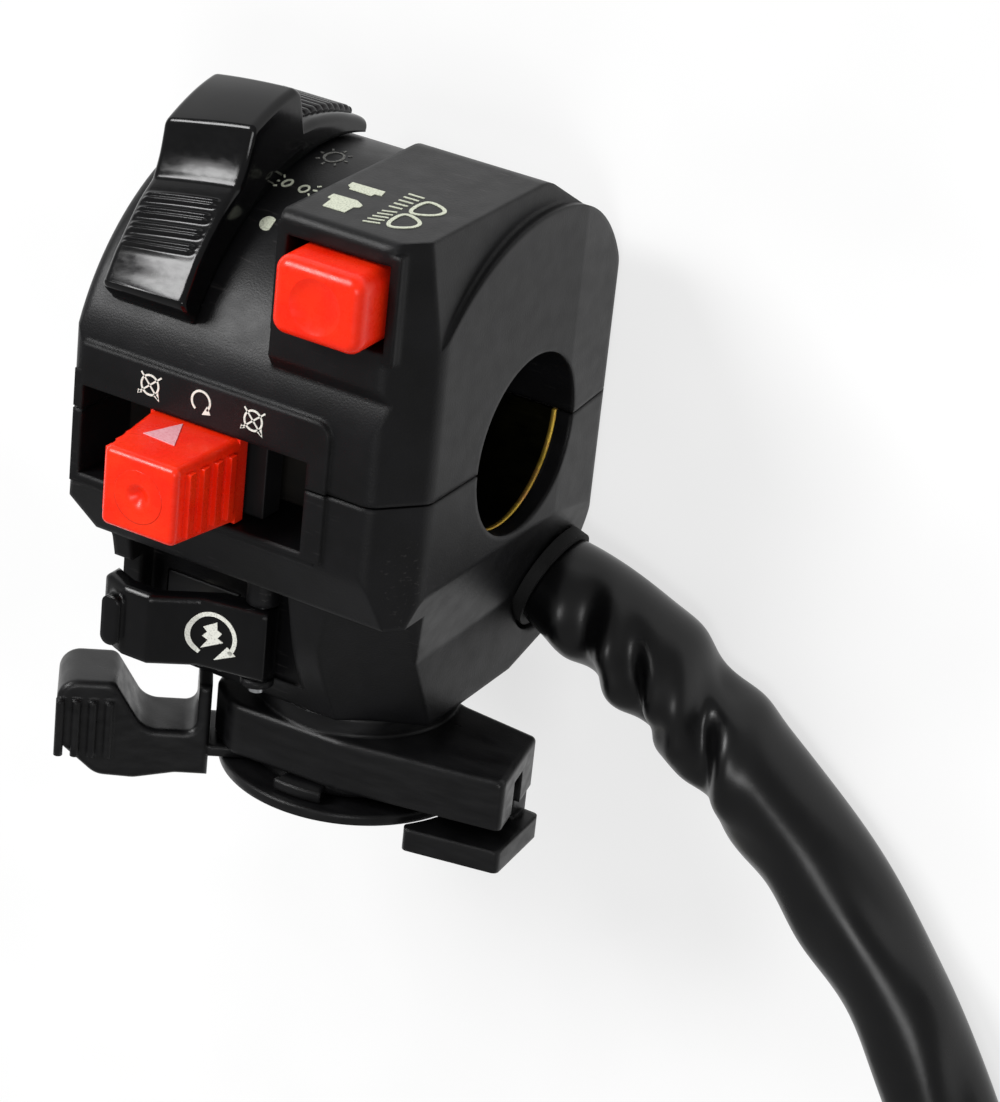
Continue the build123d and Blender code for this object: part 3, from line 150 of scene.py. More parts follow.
def spark_textured_abs():
    """Black ABS from a spark-eroded mould: satin with a fine pebble, drawn coarser than the real 0.1 mm
    so that it shows, greyer where it was rubbed, and with a few pale scuffs."""
    material, place = blank("ABS, spark-textured moulding, black")
    rub = add(material, "ShaderNodeTexNoise", {"Vector": place, "Scale": across(8.0), "Detail": 5.0})
    black = add(material, "ShaderNodeValToRGB", {"Fac": rub}, stops=((0.36, "0a0a0b"), (0.66, "121214")))
    lean = add(material, "ShaderNodeMapping",
               {"Vector": place, "Rotation": (0.2, 0.1, 0.5), "Scale": (0.16, 1.5, 1.0)})
    hairs = add(material, "ShaderNodeTexNoise", {"Vector": lean, "Scale": across(0.5), "Detail": 2.0})
    patch = add(material, "ShaderNodeTexNoise", {"Vector": place, "Scale": across(13.0), "Detail": 1.0})
    scuffed = add(material, "ShaderNodeMapRange",
                  {"Value": hairs, "From Min": 0.63, "From Max": 0.72, "To Min": 0.0, "To Max": 0.5})
    where = add(material, "ShaderNodeMapRange", {"Value": patch, "From Min": 0.52, "From Max": 0.62})
    share = add(material, "ShaderNodeMath", {0: scuffed, 1: where}, operation="MULTIPLY")
    skin = add(material, "ShaderNodeMix", {0: share, 6: black, 7: linear("3a3838")}, data_type="RGBA")
    wipe = add(material, "ShaderNodeTexNoise", {"Vector": place, "Scale": across(2.6), "Detail": 4.0})
    rough = add(material, "ShaderNodeMapRange",
                {"Value": wipe, "From Min": 0.3, "From Max": 0.7, "To Min": 0.38, "To Max": 0.45})
    pebble = add(material, "ShaderNodeTexNoise", {"Vector": place, "Scale": across(0.24), "Detail": 2.0})
    edge = add(material, "ShaderNodeBevel", {"Radius": 0.8 * MM}, samples=6)
    normal = add(material, "ShaderNodeBump",
                 {"Height": pebble, "Strength": 0.4, "Distance": 0.06 * MM, "Normal": edge})
    shader = add(material, "ShaderNodeBsdfPrincipled",
                 {"Base Color": (skin, 2), "Roughness": rough, "Normal": normal, "IOR": 1.5,
                  "Specular IOR Level": 0.23})
    add(material, "ShaderNodeOutputMaterial", {"Surface": shader})
    return material


def polished_abs(name, edge_mm):
    """Black ABS from a polished mould: mirror-like, with slow waves and fine wipe marks. Its edges look
    rounded by edge_mm millimetres."""
    material, place = blank(name)
    wave = add(material, "ShaderNodeTexNoise", {"Vector": place, "Scale": across(4.5), "Detail": 2.0})
    black = add(material, "ShaderNodeValToRGB", {"Fac": wave}, stops=((0.35, "070708"), (0.65, "0c0c0d")))
    lean = add(material, "ShaderNodeMapping", {"Vector": place, "Scale": (1.0, 1.0, 4.0)})
    wipe = add(material, "ShaderNodeTexNoise", {"Vector": lean, "Scale": across(1.2), "Detail": 4.0})
    rough = add(material, "ShaderNodeMapRange",
                {"Value": wipe, "From Min": 0.35, "From Max": 0.75, "To Min": 0.12, "To Max": 0.22})
    edge = add(material, "ShaderNodeBevel", {"Radius": edge_mm * MM}, samples=8)
    normal = add(material, "ShaderNodeBump",
                 {"Height": wave, "Strength": 0.2, "Distance": 0.06 * MM, "Normal": edge})
    shader = add(material, "ShaderNodeBsdfPrincipled",
                 {"Base Color": black, "Roughness": rough, "Normal": normal, "IOR": 1.52,
                  "Specular IOR Level": 0.26})
    add(material, "ShaderNodeOutputMaterial", {"Surface": shader})
    return material


def satin_nylon():
    """Black glass-filled nylon: satin, faintly streaked by the flow of the melt."""
    material, place = blank("nylon, glass-filled moulding, black")
    lean = add(material, "ShaderNodeMapping", {"Vector": place, "Scale": (0.4, 2.0, 1.0)})
    flow = add(material, "ShaderNodeTexNoise", {"Vector": lean, "Scale": across(2.2), "Detail": 4.0})
    black = add(material, "ShaderNodeValToRGB", {"Fac": flow}, stops=((0.3, "09090a"), (0.7, "111112")))
    rough = add(material, "ShaderNodeMapRange",
                {"Value": flow, "From Min": 0.3, "From Max": 0.7, "To Min": 0.27, "To Max": 0.42})
    pebble = add(material, "ShaderNodeTexNoise", {"Vector": place, "Scale": across(0.3), "Detail": 2.0})
    edge = add(material, "ShaderNodeBevel", {"Radius": 0.7 * MM}, samples=6)
    normal = add(material, "ShaderNodeBump",
                 {"Height": pebble, "Strength": 0.3, "Distance": 0.04 * MM, "Normal": edge})
    shader = add(material, "ShaderNodeBsdfPrincipled",
                 {"Base Color": black, "Roughness": rough, "Normal": normal, "IOR": 1.52,
                  "Specular IOR Level": 0.27})
    add(material, "ShaderNodeOutputMaterial", {"Surface": shader})
    return material


def red_abs():
    """Signal red ABS: bright orange-red skin, glossy, a little light carried inside, with handling marks."""
    material, place = blank("ABS, polished moulding, signal red")
    tint = add(material, "ShaderNodeTexNoise", {"Vector": place, "Scale": across(4.0), "Detail": 3.0})
    red = add(material, "ShaderNodeValToRGB", {"Fac": tint}, stops=((0.3, "fa2208"), (0.7, "ff3210")))
    wipe = add(material, "ShaderNodeTexNoise", {"Vector": place, "Scale": across(0.9), "Detail": 4.0})
    rough = add(material, "ShaderNodeMapRange",
                {"Value": wipe, "From Min": 0.35, "From Max": 0.7, "To Min": 0.22, "To Max": 0.38})
    wave = add(material, "ShaderNodeTexNoise", {"Vector": place, "Scale": across(2.4), "Detail": 2.0})
    edge = add(material, "ShaderNodeBevel", {"Radius": 0.15 * MM}, samples=4)
    normal = add(material, "ShaderNodeBump",
                 {"Height": wave, "Strength": 0.25, "Distance": 0.08 * MM, "Normal": edge})
    shader = add(material, "ShaderNodeBsdfPrincipled",
                 {"Base Color": red, "Roughness": rough, "Normal": normal, "IOR": 1.5,
                  "Specular IOR Level": 0.3, "Subsurface Weight": 0.08,
                  "Subsurface Radius": (1.2 * MM, 0.2 * MM, 0.1 * MM), "Subsurface Scale": 1.0})
    add(material, "ShaderNodeOutputMaterial", {"Surface": shader})
    return material


LINER_END = 21.2
LINER_RIM = 0.75


def gold_passivated_zinc():
    """Zinc plate under yellow passivation: golden at the cut end of the tube, and along its inside
    painted dull dark olive as painted shade inside the bore."""
    material, place = blank("steel, yellow-passivated zinc plate")
    drift = add(material, "ShaderNodeTexNoise", {"Vector": place, "Scale": across(2.5), "Detail": 3.0})
    gold = add(material, "ShaderNodeValToRGB", {"Fac": drift},
               stops=((0.3, "c9ae48"), (0.5, "f2cc5a"), (0.7, "f0b46c")))
    # Painted shade: the inside of the tube is coloured dull dark olive, and only the cut end keeps the gold.
    painted_shade_olive = add(material, "ShaderNodeValToRGB", {"Fac": drift}, stops=((0.35, "0e0f08"), (0.7, "1e1d10")))
    split = add(material, "ShaderNodeSeparateXYZ", {"Vector": place})
    rim = add(material, "ShaderNodeMapRange",
              {"Value": (split, "X"), "From Min": (LINER_END - LINER_RIM) * MM,
               "From Max": (LINER_END - LINER_RIM / 2) * MM})
    colour = add(material, "ShaderNodeMix", {0: rim, 6: painted_shade_olive, 7: gold}, data_type="RGBA")
    lines = add(material, "ShaderNodeMapping", {"Vector": place, "Scale": (0.15, 1.0, 1.0)})
    brush = add(material, "ShaderNodeTexNoise", {"Vector": lines, "Scale": across(0.3), "Detail": 3.0})
    rough = add(material, "ShaderNodeMapRange",
                {"Value": brush, "From Min": 0.3, "From Max": 0.7, "To Min": 0.45, "To Max": 0.6})
    edge = add(material, "ShaderNodeBevel", {"Radius": 0.5 * MM}, samples=6)
    normal = add(material, "ShaderNodeBump",
                 {"Height": brush, "Strength": 0.3, "Distance": 0.02 * MM, "Normal": edge})
    shader = add(material, "ShaderNodeBsdfPrincipled",
                 {"Base Color": (colour, 2), "Roughness": rough, "Normal": normal, "Metallic": 1.0})
    add(material, "ShaderNodeOutputMaterial", {"Surface": shader})
    return material


def bright_metal(name, dark, light, roughness):
    """Plain metal part: fine drawn or turned lines that scatter its glints."""
    material, place = blank(name)
    lean = add(material, "ShaderNodeMapping", {"Vector": place, "Scale": (1.0, 1.0, 0.2)})
    lines = add(material, "ShaderNodeTexNoise", {"Vector": lean, "Scale": across(0.3), "Detail": 3.0})
    colour = add(material, "ShaderNodeValToRGB", {"Fac": lines}, stops=((0.3, dark), (0.7, light)))
    normal = add(material, "ShaderNodeBump", {"Height": lines, "Strength": 0.25, "Distance": 0.02 * MM})
    shader = add(material, "ShaderNodeBsdfPrincipled",
                 {"Base Color": colour, "Roughness": roughness, "Normal": normal, "Metallic": 1.0})
    add(material, "ShaderNodeOutputMaterial", {"Surface": shader})
    return material


def plain_moulding(name, dark, light, roughness):
    """Plain moulded insulator: dull, slightly cloudy."""
    material, place = blank(name)
    cloud = add(material, "ShaderNodeTexNoise", {"Vector": place, "Scale": across(3.0), "Detail": 3.0})
    colour = add(material, "ShaderNodeValToRGB", {"Fac": cloud}, stops=((0.3, dark), (0.7, light)))
    pebble = add(material, "ShaderNodeTexNoise", {"Vector": place, "Scale": across(0.3), "Detail": 2.0})
    edge = add(material, "ShaderNodeBevel", {"Radius": 0.3 * MM}, samples=4)
    normal = add(material, "ShaderNodeBump",
                 {"Height": pebble, "Strength": 0.2, "Distance": 0.03 * MM, "Normal": edge})
    shader = add(material, "ShaderNodeBsdfPrincipled",
                 {"Base Color": colour, "Roughness": roughness, "Normal": normal})
    add(material, "ShaderNodeOutputMaterial", {"Surface": shader})
    return material


def pvc_sleeve():
    """Black PVC loom sleeve: soft glossy skin with long flow lines, duller where it was handled."""
    material, place = blank("PVC, extruded soft sleeve, black")
    drift = add(material, "ShaderNodeTexNoise", {"Vector": place, "Scale": across(9.0), "Detail": 4.0})
    black = add(material, "ShaderNodeValToRGB", {"Fac": drift}, stops=((0.3, "050506"), (0.7, "0b0b0c")))
    rough = add(material, "ShaderNodeMapRange",
                {"Value": drift, "From Min": 0.3, "From Max": 0.7, "To Min": 0.26, "To Max": 0.38})
    skin = add(material, "ShaderNodeTexNoise", {"Vector": place, "Scale": across(1.8), "Detail": 4.0})
    normal = add(material, "ShaderNodeBump", {"Height": skin, "Strength": 0.2, "Distance": 0.12 * MM})
    shader = add(material, "ShaderNodeBsdfPrincipled",
                 {"Base Color": black, "Roughness": rough, "Normal": normal, "IOR": 1.53,
                  "Specular IOR Level": 0.35})
    add(material, "ShaderNodeOutputMaterial", {"Surface": shader})
    return material


def gland_rubber():
    """Black rubber: dull, dry, fine-grained."""
    material, place = blank("rubber, moulded gland, black")
    cloud = add(material, "ShaderNodeTexNoise", {"Vector": place, "Scale": across(2.0), "Detail": 3.0})
    colour = add(material, "ShaderNodeValToRGB", {"Fac": cloud}, stops=((0.3, "0e0e0e"), (0.7, "171717")))
    dust = add(material, "ShaderNodeTexNoise", {"Vector": place, "Scale": across(0.25), "Detail": 2.0})
    normal = add(material, "ShaderNodeBump", {"Height": dust, "Strength": 0.4, "Distance": 0.04 * MM})
    shader = add(material, "ShaderNodeBsdfPrincipled",
                 {"Base Color": colour, "Roughness": 0.7, "Normal": normal, "Specular IOR Level": 0.3})
    add(material, "ShaderNodeOutputMaterial", {"Surface": shader})
    return material


def wire_pvc():
    """PVC wire insulation: each tail keeps its own colour, told apart by its place across the loom."""
    material, place = blank("PVC, extruded wire insulation, five colours")
    side = add(material, "ShaderNodeVectorMath", {0: place, 1: (*TAIL_SIDE, 0)}, operation="DOT_PRODUCT")
    share = add(material, "ShaderNodeMapRange",
                {"Value": (side, "Value"), "From Min": (TAIL_MIDDLE - TAIL_HALF) * MM,
                 "From Max": (TAIL_MIDDLE + TAIL_HALF) * MM})
    colour = add(material, "ShaderNodeValToRGB", {"Fac": share}, stops=(
        (0.0, "1a1a1c"), (0.2, "b3231a"), (0.4, "2f6b34"), (0.6, "d9c23a"), (0.8, "29507f")))
    colour.color_ramp.interpolation = "CONSTANT"
    skin = add(material, "ShaderNodeTexNoise", {"Vector": place, "Scale": across(0.5), "Detail": 2.0})
    normal = add(material, "ShaderNodeBump", {"Height": skin, "Strength": 0.2, "Distance": 0.02 * MM})
    shader = add(material, "ShaderNodeBsdfPrincipled",
                 {"Base Color": colour, "Roughness": 0.35, "Normal": normal})
    add(material, "ShaderNodeOutputMaterial", {"Surface": shader})
    return material


def pad_printed_paint(name, dark, light, cover):
    """Pad-printed paint: matt, chalky, thinner in specks where the texture shows through."""
    material, place = blank(name)
    specks = add(material, "ShaderNodeTexNoise", {"Vector": place, "Scale": across(0.2), "Detail": 3.0})
    colour = add(material, "ShaderNodeValToRGB", {"Fac": specks},
                 stops=((cover - 0.1, dark), (cover + 0.1, light)))
    normal = add(material, "ShaderNodeBump", {"Height": specks, "Strength": 0.3, "Distance": 0.02 * MM})
    shader = add(material, "ShaderNodeBsdfPrincipled",
                 {"Base Color": colour, "Roughness": 0.6, "Normal": normal, "Specular IOR Level": 0.3})
    add(material, "ShaderNodeOutputMaterial", {"Surface": shader})
    return material


# Mesh tools

def piece(name, points, faces, material, body, smooth=True):
    """Makes a piece from points in millimetres, gives it a finish and hangs it on its body."""
    mesh = bpy.data.meshes.new(name)
    mesh.from_pydata((np.asarray(points) * MM).tolist(), [], [list(f) for f in faces])
    mesh.validate()
    mesh.polygons.foreach_set("use_smooth", [smooth] * len(mesh.polygons))
    mesh.materials.append(material)
    made = bpy.data.objects.new(name, mesh)
    bpy.context.scene.collection.objects.link(made)
    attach(made, body)
    return made


def tube_faces(rows, cols):
    """Quads of a rows by cols grid whose last column joins the first, wound outwards."""
    r, c = np.meshgrid(np.arange(rows - 1), np.arange(cols), indexing="ij")
    after = (c + 1) % cols
    quads = np.stack([(r + 1) * cols + c, (r + 1) * cols + after, r * cols + after, r * cols + c], -1)
    return quads.reshape(-1, 4)


# Loom

# The same points as the loom's route in the part's source.
LOOM_ROUTE = (
    (21.6, -24.0), (34.9, -28.6), (49.2, -38.6), (66.6, -53.2), (80.4, -71.0), (89.6, -92.0),
    (92.6, -118.0), (85.6, -143.4), (66.4, -161.0), (41.0, -167.6), (15.2, -164.2), (-8.8, -154.6))
LOOM_Z = -14.98
LOOM_D = 14.0
TAIL_AIM = Vector((-24.0, 9.6)).normalized()
TAIL_SIDE = (-TAIL_AIM.y, TAIL_AIM.x)
TAIL_MIDDLE = LOOM_ROUTE[-1][0] * TAIL_SIDE[0] + LOOM_ROUTE[-1][1] * TAIL_SIDE[1]
TAIL_HALF = 5.5


def loom_line():
    """Points of the route's NURBS spline, as Blender gives them for a curve without a bevel."""
    curve = bpy.data.curves.new("loom_line", "CURVE")
    curve.dimensions = "3D"
    curve.resolution_u = 24
    spline = curve.splines.new("NURBS")
    spline.points.add(len(LOOM_ROUTE) - 1)
    for point, (x, y) in zip(spline.points, LOOM_ROUTE):
        point.co = (x * MM, y * MM, LOOM_Z * MM, 1)
    spline.order_u = 3
    spline.use_endpoint_u = True
    line = bpy.data.objects.new("loom_line", curve)
    bpy.context.scene.collection.objects.link(line)
    bpy.context.view_layer.update()
    mesh = bpy.data.meshes.new_from_object(line)
    points = np.array([v.co for v in mesh.vertices]) / MM
    bpy.data.objects.remove(line)
    return points


# Folds of the sleeve. Each has its place along it, its place round it in degrees (0 on top, positive
# towards the inside of the first bend), depth, width along, width round in degrees, and the slant of
# the crease in mm per radian.
FOLDS = (
    (8.2, 6, 2.0, 1.7, 38, 2.5), (12.0, 30, 0.8, 1.5, 26, -2.0), (17.2, 14, 2.1, 1.5, 34, 4.5),
    (22.0, 30, 0.8, 1.8, 26, -3.0), (27.4, -4, 2.5, 1.9, 40, 4.5), (23.4, -98, 1.9, 2.4, 34, 2.0),
    (35.0, 58, 0.6, 2.6, 26, -5.0), (46.0, 62, 0.6, 4.0, 28, 5.0), (57.0, -80, 0.8, 5.0, 30, -5.0),
    (64.0, 55, 0.6, 5.0, 28, 5.0), (80.0, -60, 0.9, 5.0, 35, 6.0), (95.0, 40, 1.0, 4.0, 40, -6.0),
    (104.0, -30, 1.6, 2.6, 50, 5.0), (113.0, 35, 1.4, 2.6, 45, -5.0), (121.0, -20, 1.7, 2.4, 50, 5.0),
    (130.0, 45, 1.2, 3.0, 40, -5.0), (145.0, -45, 1.1, 5.0, 40, 4.0), (160.0, 35, 1.0, 5.0, 45, -5.0),
    (176.0, -35, 1.4, 3.0, 45, 5.0), (184.0, 30, 1.2, 3.0, 45, -5.0), (203.0, -35, 1.0, 5.0, 45, 5.0),
    (226.0, 35, 1.2, 3.5, 50, -4.0))
# Long flats pressed into the sleeve: from, to, place round it in degrees, depth, width in degrees.
FLATS = ((30.0, 84.0, 12.0, 0.9, 26.0), (34.0, 80.0, -62.0, 0.7, 24.0), (132.0, 172.0, 10.0, 0.8, 28.0),
         (186.0, 236.0, -25.0, 0.8, 28.0))
LOOM_STEPS, LOOM_ROUND = 680, 96
# Mean and greatest radius, as shares of half the diameter.
LOOM_MEAN_SHARE, LOOM_MOST_SHARE = 0.965, 1.12
# Twist of the oval in degrees: sway, length of the sway, start.
TWIST, TWIST_LONG, TWIST_START = 24.0, 31.0, 8.0
# Shares of the radius that the oval, a three-sided wave and a slow swell add, with their lengths.
OVAL_SHARE, THREE_SHARE, THREE_LONG = 0.04, 0.015, 17.0
SWELL_SHARE, SWELL_SHORT, SWELL_LONG = 0.02, 7.3, 19.0
# Lip beside a fold: share of its depth, then distance from the crease and width, in widths of the fold.
LIP_SHARE, LIP_AWAY, LIP_WIDE = 0.26, 2.2, 0.85
FLAT_IN, FLAT_OUT = 4.0, 5.0
# How far the mouth and the far end are drawn in, as shares, and over what lengths.
MOUTH_SHARE, MOUTH_LONG = 0.14, 6.0
TAIL_SHARE, TAIL_LONG = 0.10, 4.0
TINY = 1e-3


def loom_radius(along, angle, whole):
    """Radius of the sleeve at a length along it and an angle round it.

    A slightly flattened tube: half the diameter times one plus small cosines of two and three times the
    angle, which turn slowly, and a slow swell along it. Each fold takes off its depth times two bell
    curves, one along the slanted crease and one round the sleeve, and pushes up a lip on both sides of
    the crease. Each long flat takes off its depth times a bell round the sleeve, faded in and out
    along it. The mouth and the far end are drawn in."""
    turn = np.radians(TWIST * np.sin(along / TWIST_LONG) + TWIST_START)
    flat = OVAL_SHARE * np.cos(2 * (angle - turn)) + THREE_SHARE * np.cos(3 * angle + along / THREE_LONG)
    swell = SWELL_SHARE * np.sin(along / SWELL_SHORT + 1.0) + SWELL_SHARE * np.sin(along / SWELL_LONG)
    radius = LOOM_D / 2 * (LOOM_MEAN_SHARE + flat + swell)
    for place, degrees, depth, wide, round_wide, slant in FOLDS:
        off = (angle - math.radians(degrees) + math.pi) % (2 * math.pi) - math.pi
        run = (along - place - slant * off) / wide
        bell = np.exp(-0.5 * (off / math.radians(round_wide)) ** 2)
        radius -= depth * bell * np.exp(-0.5 * run ** 2)
        radius += depth * LIP_SHARE * bell * np.exp(-0.5 * ((np.abs(run) - LIP_AWAY) / LIP_WIDE) ** 2)
    for begin, end, degrees, depth, round_wide in FLATS:
        off = (angle - math.radians(degrees) + math.pi) % (2 * math.pi) - math.pi
        fade = 1 / (1 + np.exp(-(along - begin) / FLAT_IN)) / (1 + np.exp((along - end) / FLAT_OUT))
        radius -= depth * fade * np.exp(-0.5 * (off / math.radians(round_wide)) ** 2)
    mouth = MOUTH_SHARE * np.exp(-along / MOUTH_LONG)
    tail = TAIL_SHARE * np.exp(-(whole - along) / TAIL_LONG)
    return np.minimum(radius, LOOM_D / 2 * LOOM_MOST_SHARE) * (1 - mouth - tail)


def make_loom(material):
    """Wrinkled sleeve: the radius above carried along the route's spline, closed at both ends."""
    line = loom_line()
    steps = np.linalg.norm(np.diff(line, axis=0), axis=1)
    lengths = np.concatenate([[0.0], np.cumsum(steps)])
    whole = lengths[-1]
    along = np.linspace(0, whole, LOOM_STEPS)
    centre = np.stack([np.interp(along, lengths, line[:, i]) for i in range(3)], -1)
    way = np.gradient(centre, axis=0)
    way /= np.linalg.norm(way, axis=1)[:, None]
    up = np.array([0.0, 0.0, 1.0])
    side = np.cross(way, up)
    side /= np.linalg.norm(side, axis=1)[:, None]
    angle = np.linspace(0, 2 * math.pi, LOOM_ROUND, endpoint=False)
    s, a = np.meshgrid(along, angle, indexing="ij")
    radius = loom_radius(s, a, whole)
    floor_radius = (centre[0, 2] - REAR_Z) / np.maximum(-np.cos(a), TINY)
    radius = np.where(np.cos(a) < 0, np.minimum(radius, floor_radius), radius)
    round_it = np.cos(a)[..., None] * up + np.sin(a)[..., None] * side[:, None, :]
    points = (centre[:, None, :] + radius[..., None] * round_it).reshape(-1, 3)
    faces = tube_faces(LOOM_STEPS, LOOM_ROUND).tolist()
    first, last = len(points), len(points) + 1
    points = np.vstack([points, centre[0], centre[-1]])
    base = (LOOM_STEPS - 1) * LOOM_ROUND
    for i in range(LOOM_ROUND):
        j = (i + 1) % LOOM_ROUND
        faces.append([first, i, j])
        faces.append([last, base + j, base + i])
    sleeve = piece("loom_sleeve_wrinkled", points, faces, material, "casing")
    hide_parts("loom_sleeve")


# Light lever

LEVER_LEFT, LEVER_RIGHT = -18.1, -6.4
LEVER_GAP = 0.5
# Height over the drum along the lever's right side: angle from the drum's top towards the front, rise.
# From the tail's end over the block, down the saddle and along the pad to the tip.
LEVER_LINE = ((-17.6, 1.3), (-16.6, 2.1), (-10.0, 2.8), (-2.0, 3.5), (4.0, 3.95), (9.9, 4.3), (10.1, 4.5),
              (10.5, 8.6), (10.9, 9.35), (12.0, 9.75), (17.0, 9.9), (22.6, 9.85), (23.7, 9.82),
              (24.3, 9.66), (25.1, 9.05), (26.5, 8.0), (28.0, 7.05), (29.5, 6.33), (31.0, 5.74),
              (32.4, 5.29), (32.9, 5.24), (35.0, 5.25), (38.0, 5.22), (42.0, 5.0), (46.7, 4.86),
              (49.6, 4.82), (52.0, 4.68), (54.6, 4.5), (57.9, 4.36), (58.9, 3.8), (61.0, 0.7))
# How far the line falls, and how many degrees it lags, at the left side: angle, amount.
LEVER_FALL = ((-17.6, 0.0), (10.0, 0.0), (10.8, 1.2), (50.0, 1.2), (58.0, 0.9), (61.0, 0.0))
LEVER_SKEW = ((-17.6, 0.0), (11.0, 0.0), (26.0, 2.6), (48.0, 2.6), (58.0, 0.4), (61.0, 0.0))
LEVER_TIP = 61.0
LEVER_TAIL = -17.6
LEVER_ROUND = 0.9
LEVER_CROWN = 0.2
GRIP_RIDGES = (36.6, 37.7, 40.0, 41.1, 43.4, 44.5, 46.8, 47.9)
GRIP_RISE, GRIP_HALF, GRIP_FADE = 0.4, 0.22, 0.12
GRIP_LEFT, GRIP_RIGHT = -17.1, -8.0
LEVER_ROWS, TOP_COLS, CORNER_COLS, SIDE_COLS = 560, 44, 9, 4
KNURL_RIGHT, KNURL_FROM, KNURL_TO = -8.2, 11.0, -15.0
KNURL_LINE = ((-15.0, 3.05), (-2.0, 4.1), (11.0, 4.8))
KNURL_PITCH, KNURL_DEEP, KNURL_POWER = 2.3, 0.42, 0.6
KNURL_INSET, KNURL_ROUND, KNURL_FOOT, KNURL_ROWS = 0.3, 0.5, 2.0, 170
WEB_MIDDLE, WEB_HALF, WEB_LEFT, WEB_RIGHT, WEB_DEEP = 17.0, 3.0, -13.5, -10.5, 25.5
WEB_TOP, WEB_ROUND, WEB_ROWS = 1.0, 0.2, 12
THINNEST = 0.02


def eased(t, table):
    """Cubic Hermite line through a table of points. Its slope at each point is the harmonic mean of the
    slopes of the two stretches that meet there, or nil where one rises and the other falls."""
    x, y = np.array(table).T
    secant = np.diff(y) / np.diff(x)
    before, after = secant[:-1], secant[1:]
    same = before * after > 0
    mean = np.where(same, 2 * before * after / np.where(same, before + after, 1.0), 0.0)
    slope = np.concatenate([secant[:1], mean, secant[-1:]])
    i = np.clip(np.searchsorted(x, t) - 1, 0, len(x) - 2)
    wide = x[i + 1] - x[i]
    u = np.clip((t - x[i]) / wide, 0, 1)
    return (y[i] * (1 + 2 * u) * (1 - u) ** 2 + y[i + 1] * u ** 2 * (3 - 2 * u)
            + wide * (slope[i] * u * (1 - u) ** 2 - slope[i + 1] * u ** 2 * (1 - u)))


def lever_height(angle, x):
    """Height of the lever over the drum: the given line, read at an angle that is skewed towards the
    left side, less a fall to the left and less a crown across it. Every grip ridge adds its height times
    a bell of the angle, cut off smoothly at both ends."""
    fall, skew = np.array(LEVER_FALL), np.array(LEVER_SKEW)
    left = np.clip((LEVER_RIGHT - x) / (LEVER_RIGHT - LEVER_LEFT), 0, 1)
    own = angle - left * np.interp(angle, skew[:, 0], skew[:, 1])
    rise = eased(own, LEVER_LINE) - left * np.interp(angle, fall[:, 0], fall[:, 1])
    rise = rise - LEVER_CROWN * (2 * left - 1) ** 2
    ends = 1 / (1 + np.exp(-(x - GRIP_LEFT) / GRIP_FADE)) / (1 + np.exp((x - GRIP_RIGHT) / GRIP_FADE))
    for middle in GRIP_RIDGES:
        off = np.radians(own - middle) * DRUM_R / GRIP_HALF
        rise = rise + GRIP_RISE * np.exp(-off ** 2) * ends
    return rise


def section(x0, x1, corner):
    """Outline across the lever, from its left foot over the top to its right foot. Gives each point's x,
    the share of the corner that it loses in height, and how far up its side it stands."""
    turn = np.linspace(0, math.pi / 2, CORNER_COLS)
    top = np.linspace(x0 + corner, x1 - corner, TOP_COLS)[1:-1]
    feet = np.linspace(0, 1, SIDE_COLS + 1)[:-1]
    x = np.concatenate([np.full(SIDE_COLS, x0), x0 + corner * (1 - np.cos(turn)), top,
                        x1 - corner * (1 - np.sin(turn)), np.full(SIDE_COLS, x1)])
    loss = np.concatenate([np.full(SIDE_COLS, 1.0), 1 - np.sin(turn), np.zeros(len(top)), 1 - np.cos(turn),
                           np.full(SIDE_COLS, 1.0)])
    up = np.concatenate([feet, np.ones(len(x) - 2 * SIDE_COLS), feet[::-1]])
    return x, loss, up


def over_drum(name, angles, x0, x1, corner, height, foot, material, body):
    """Closed body that lies on the drum between two angles: its outline across is carried along the
    angles, its top follows a height, its outer edges are rounded, and it draws in at both ends by the
    same rounding, one less the root of one less the square of the way in."""
    x, loss, up = section(x0, x1, corner)
    a, xs = np.meshgrid(angles, x, indexing="ij")
    end = np.radians(np.minimum(a - angles.min(), angles.max() - a)) * (DRUM_R + foot)
    inset = corner * (1 - np.sqrt(np.clip(1 - (1 - np.clip(end / corner, 0, 1)) ** 2, 0, 1)))
    middle = (x0 + x1) / 2
    xs = middle + (xs - middle) * (1 - 2 * inset / (x1 - x0))
    top = height(a, xs) - loss * np.minimum(corner, height(a, xs) - foot) - inset
    rise = foot + np.maximum(top - foot, THINNEST) * up
    radius, turn = DRUM_R + rise, np.radians(a)
    points = np.stack([xs, radius * np.cos(turn), radius * np.sin(turn)], -1).reshape(-1, 3)
    rows, cols = a.shape
    faces = tube_faces(rows, cols).tolist()
    faces += [list(range(cols)), [(rows - 1) * cols + i for i in range(cols)][::-1]]
    made = piece(name, points, faces, material, body)
    return outwards(made)


def outwards(made):
    """Turns the faces of a closed piece outwards."""
    shape = bmesh.new()
    shape.from_mesh(made.data)
    bmesh.ops.recalc_face_normals(shape, faces=shape.faces)
    shape.to_mesh(made.data)
    shape.free()
    return made


def knurl_height(angle, x):
    """Pad on the lever's tail: falls towards the end, with a rounded tooth every few degrees, which is
    the share left of the sine of the angle raised to a low power."""
    tooth = np.abs(np.sin(math.pi * angle / KNURL_PITCH)) ** KNURL_POWER
    return eased(angle, KNURL_LINE) + KNURL_DEEP * (tooth - 1)


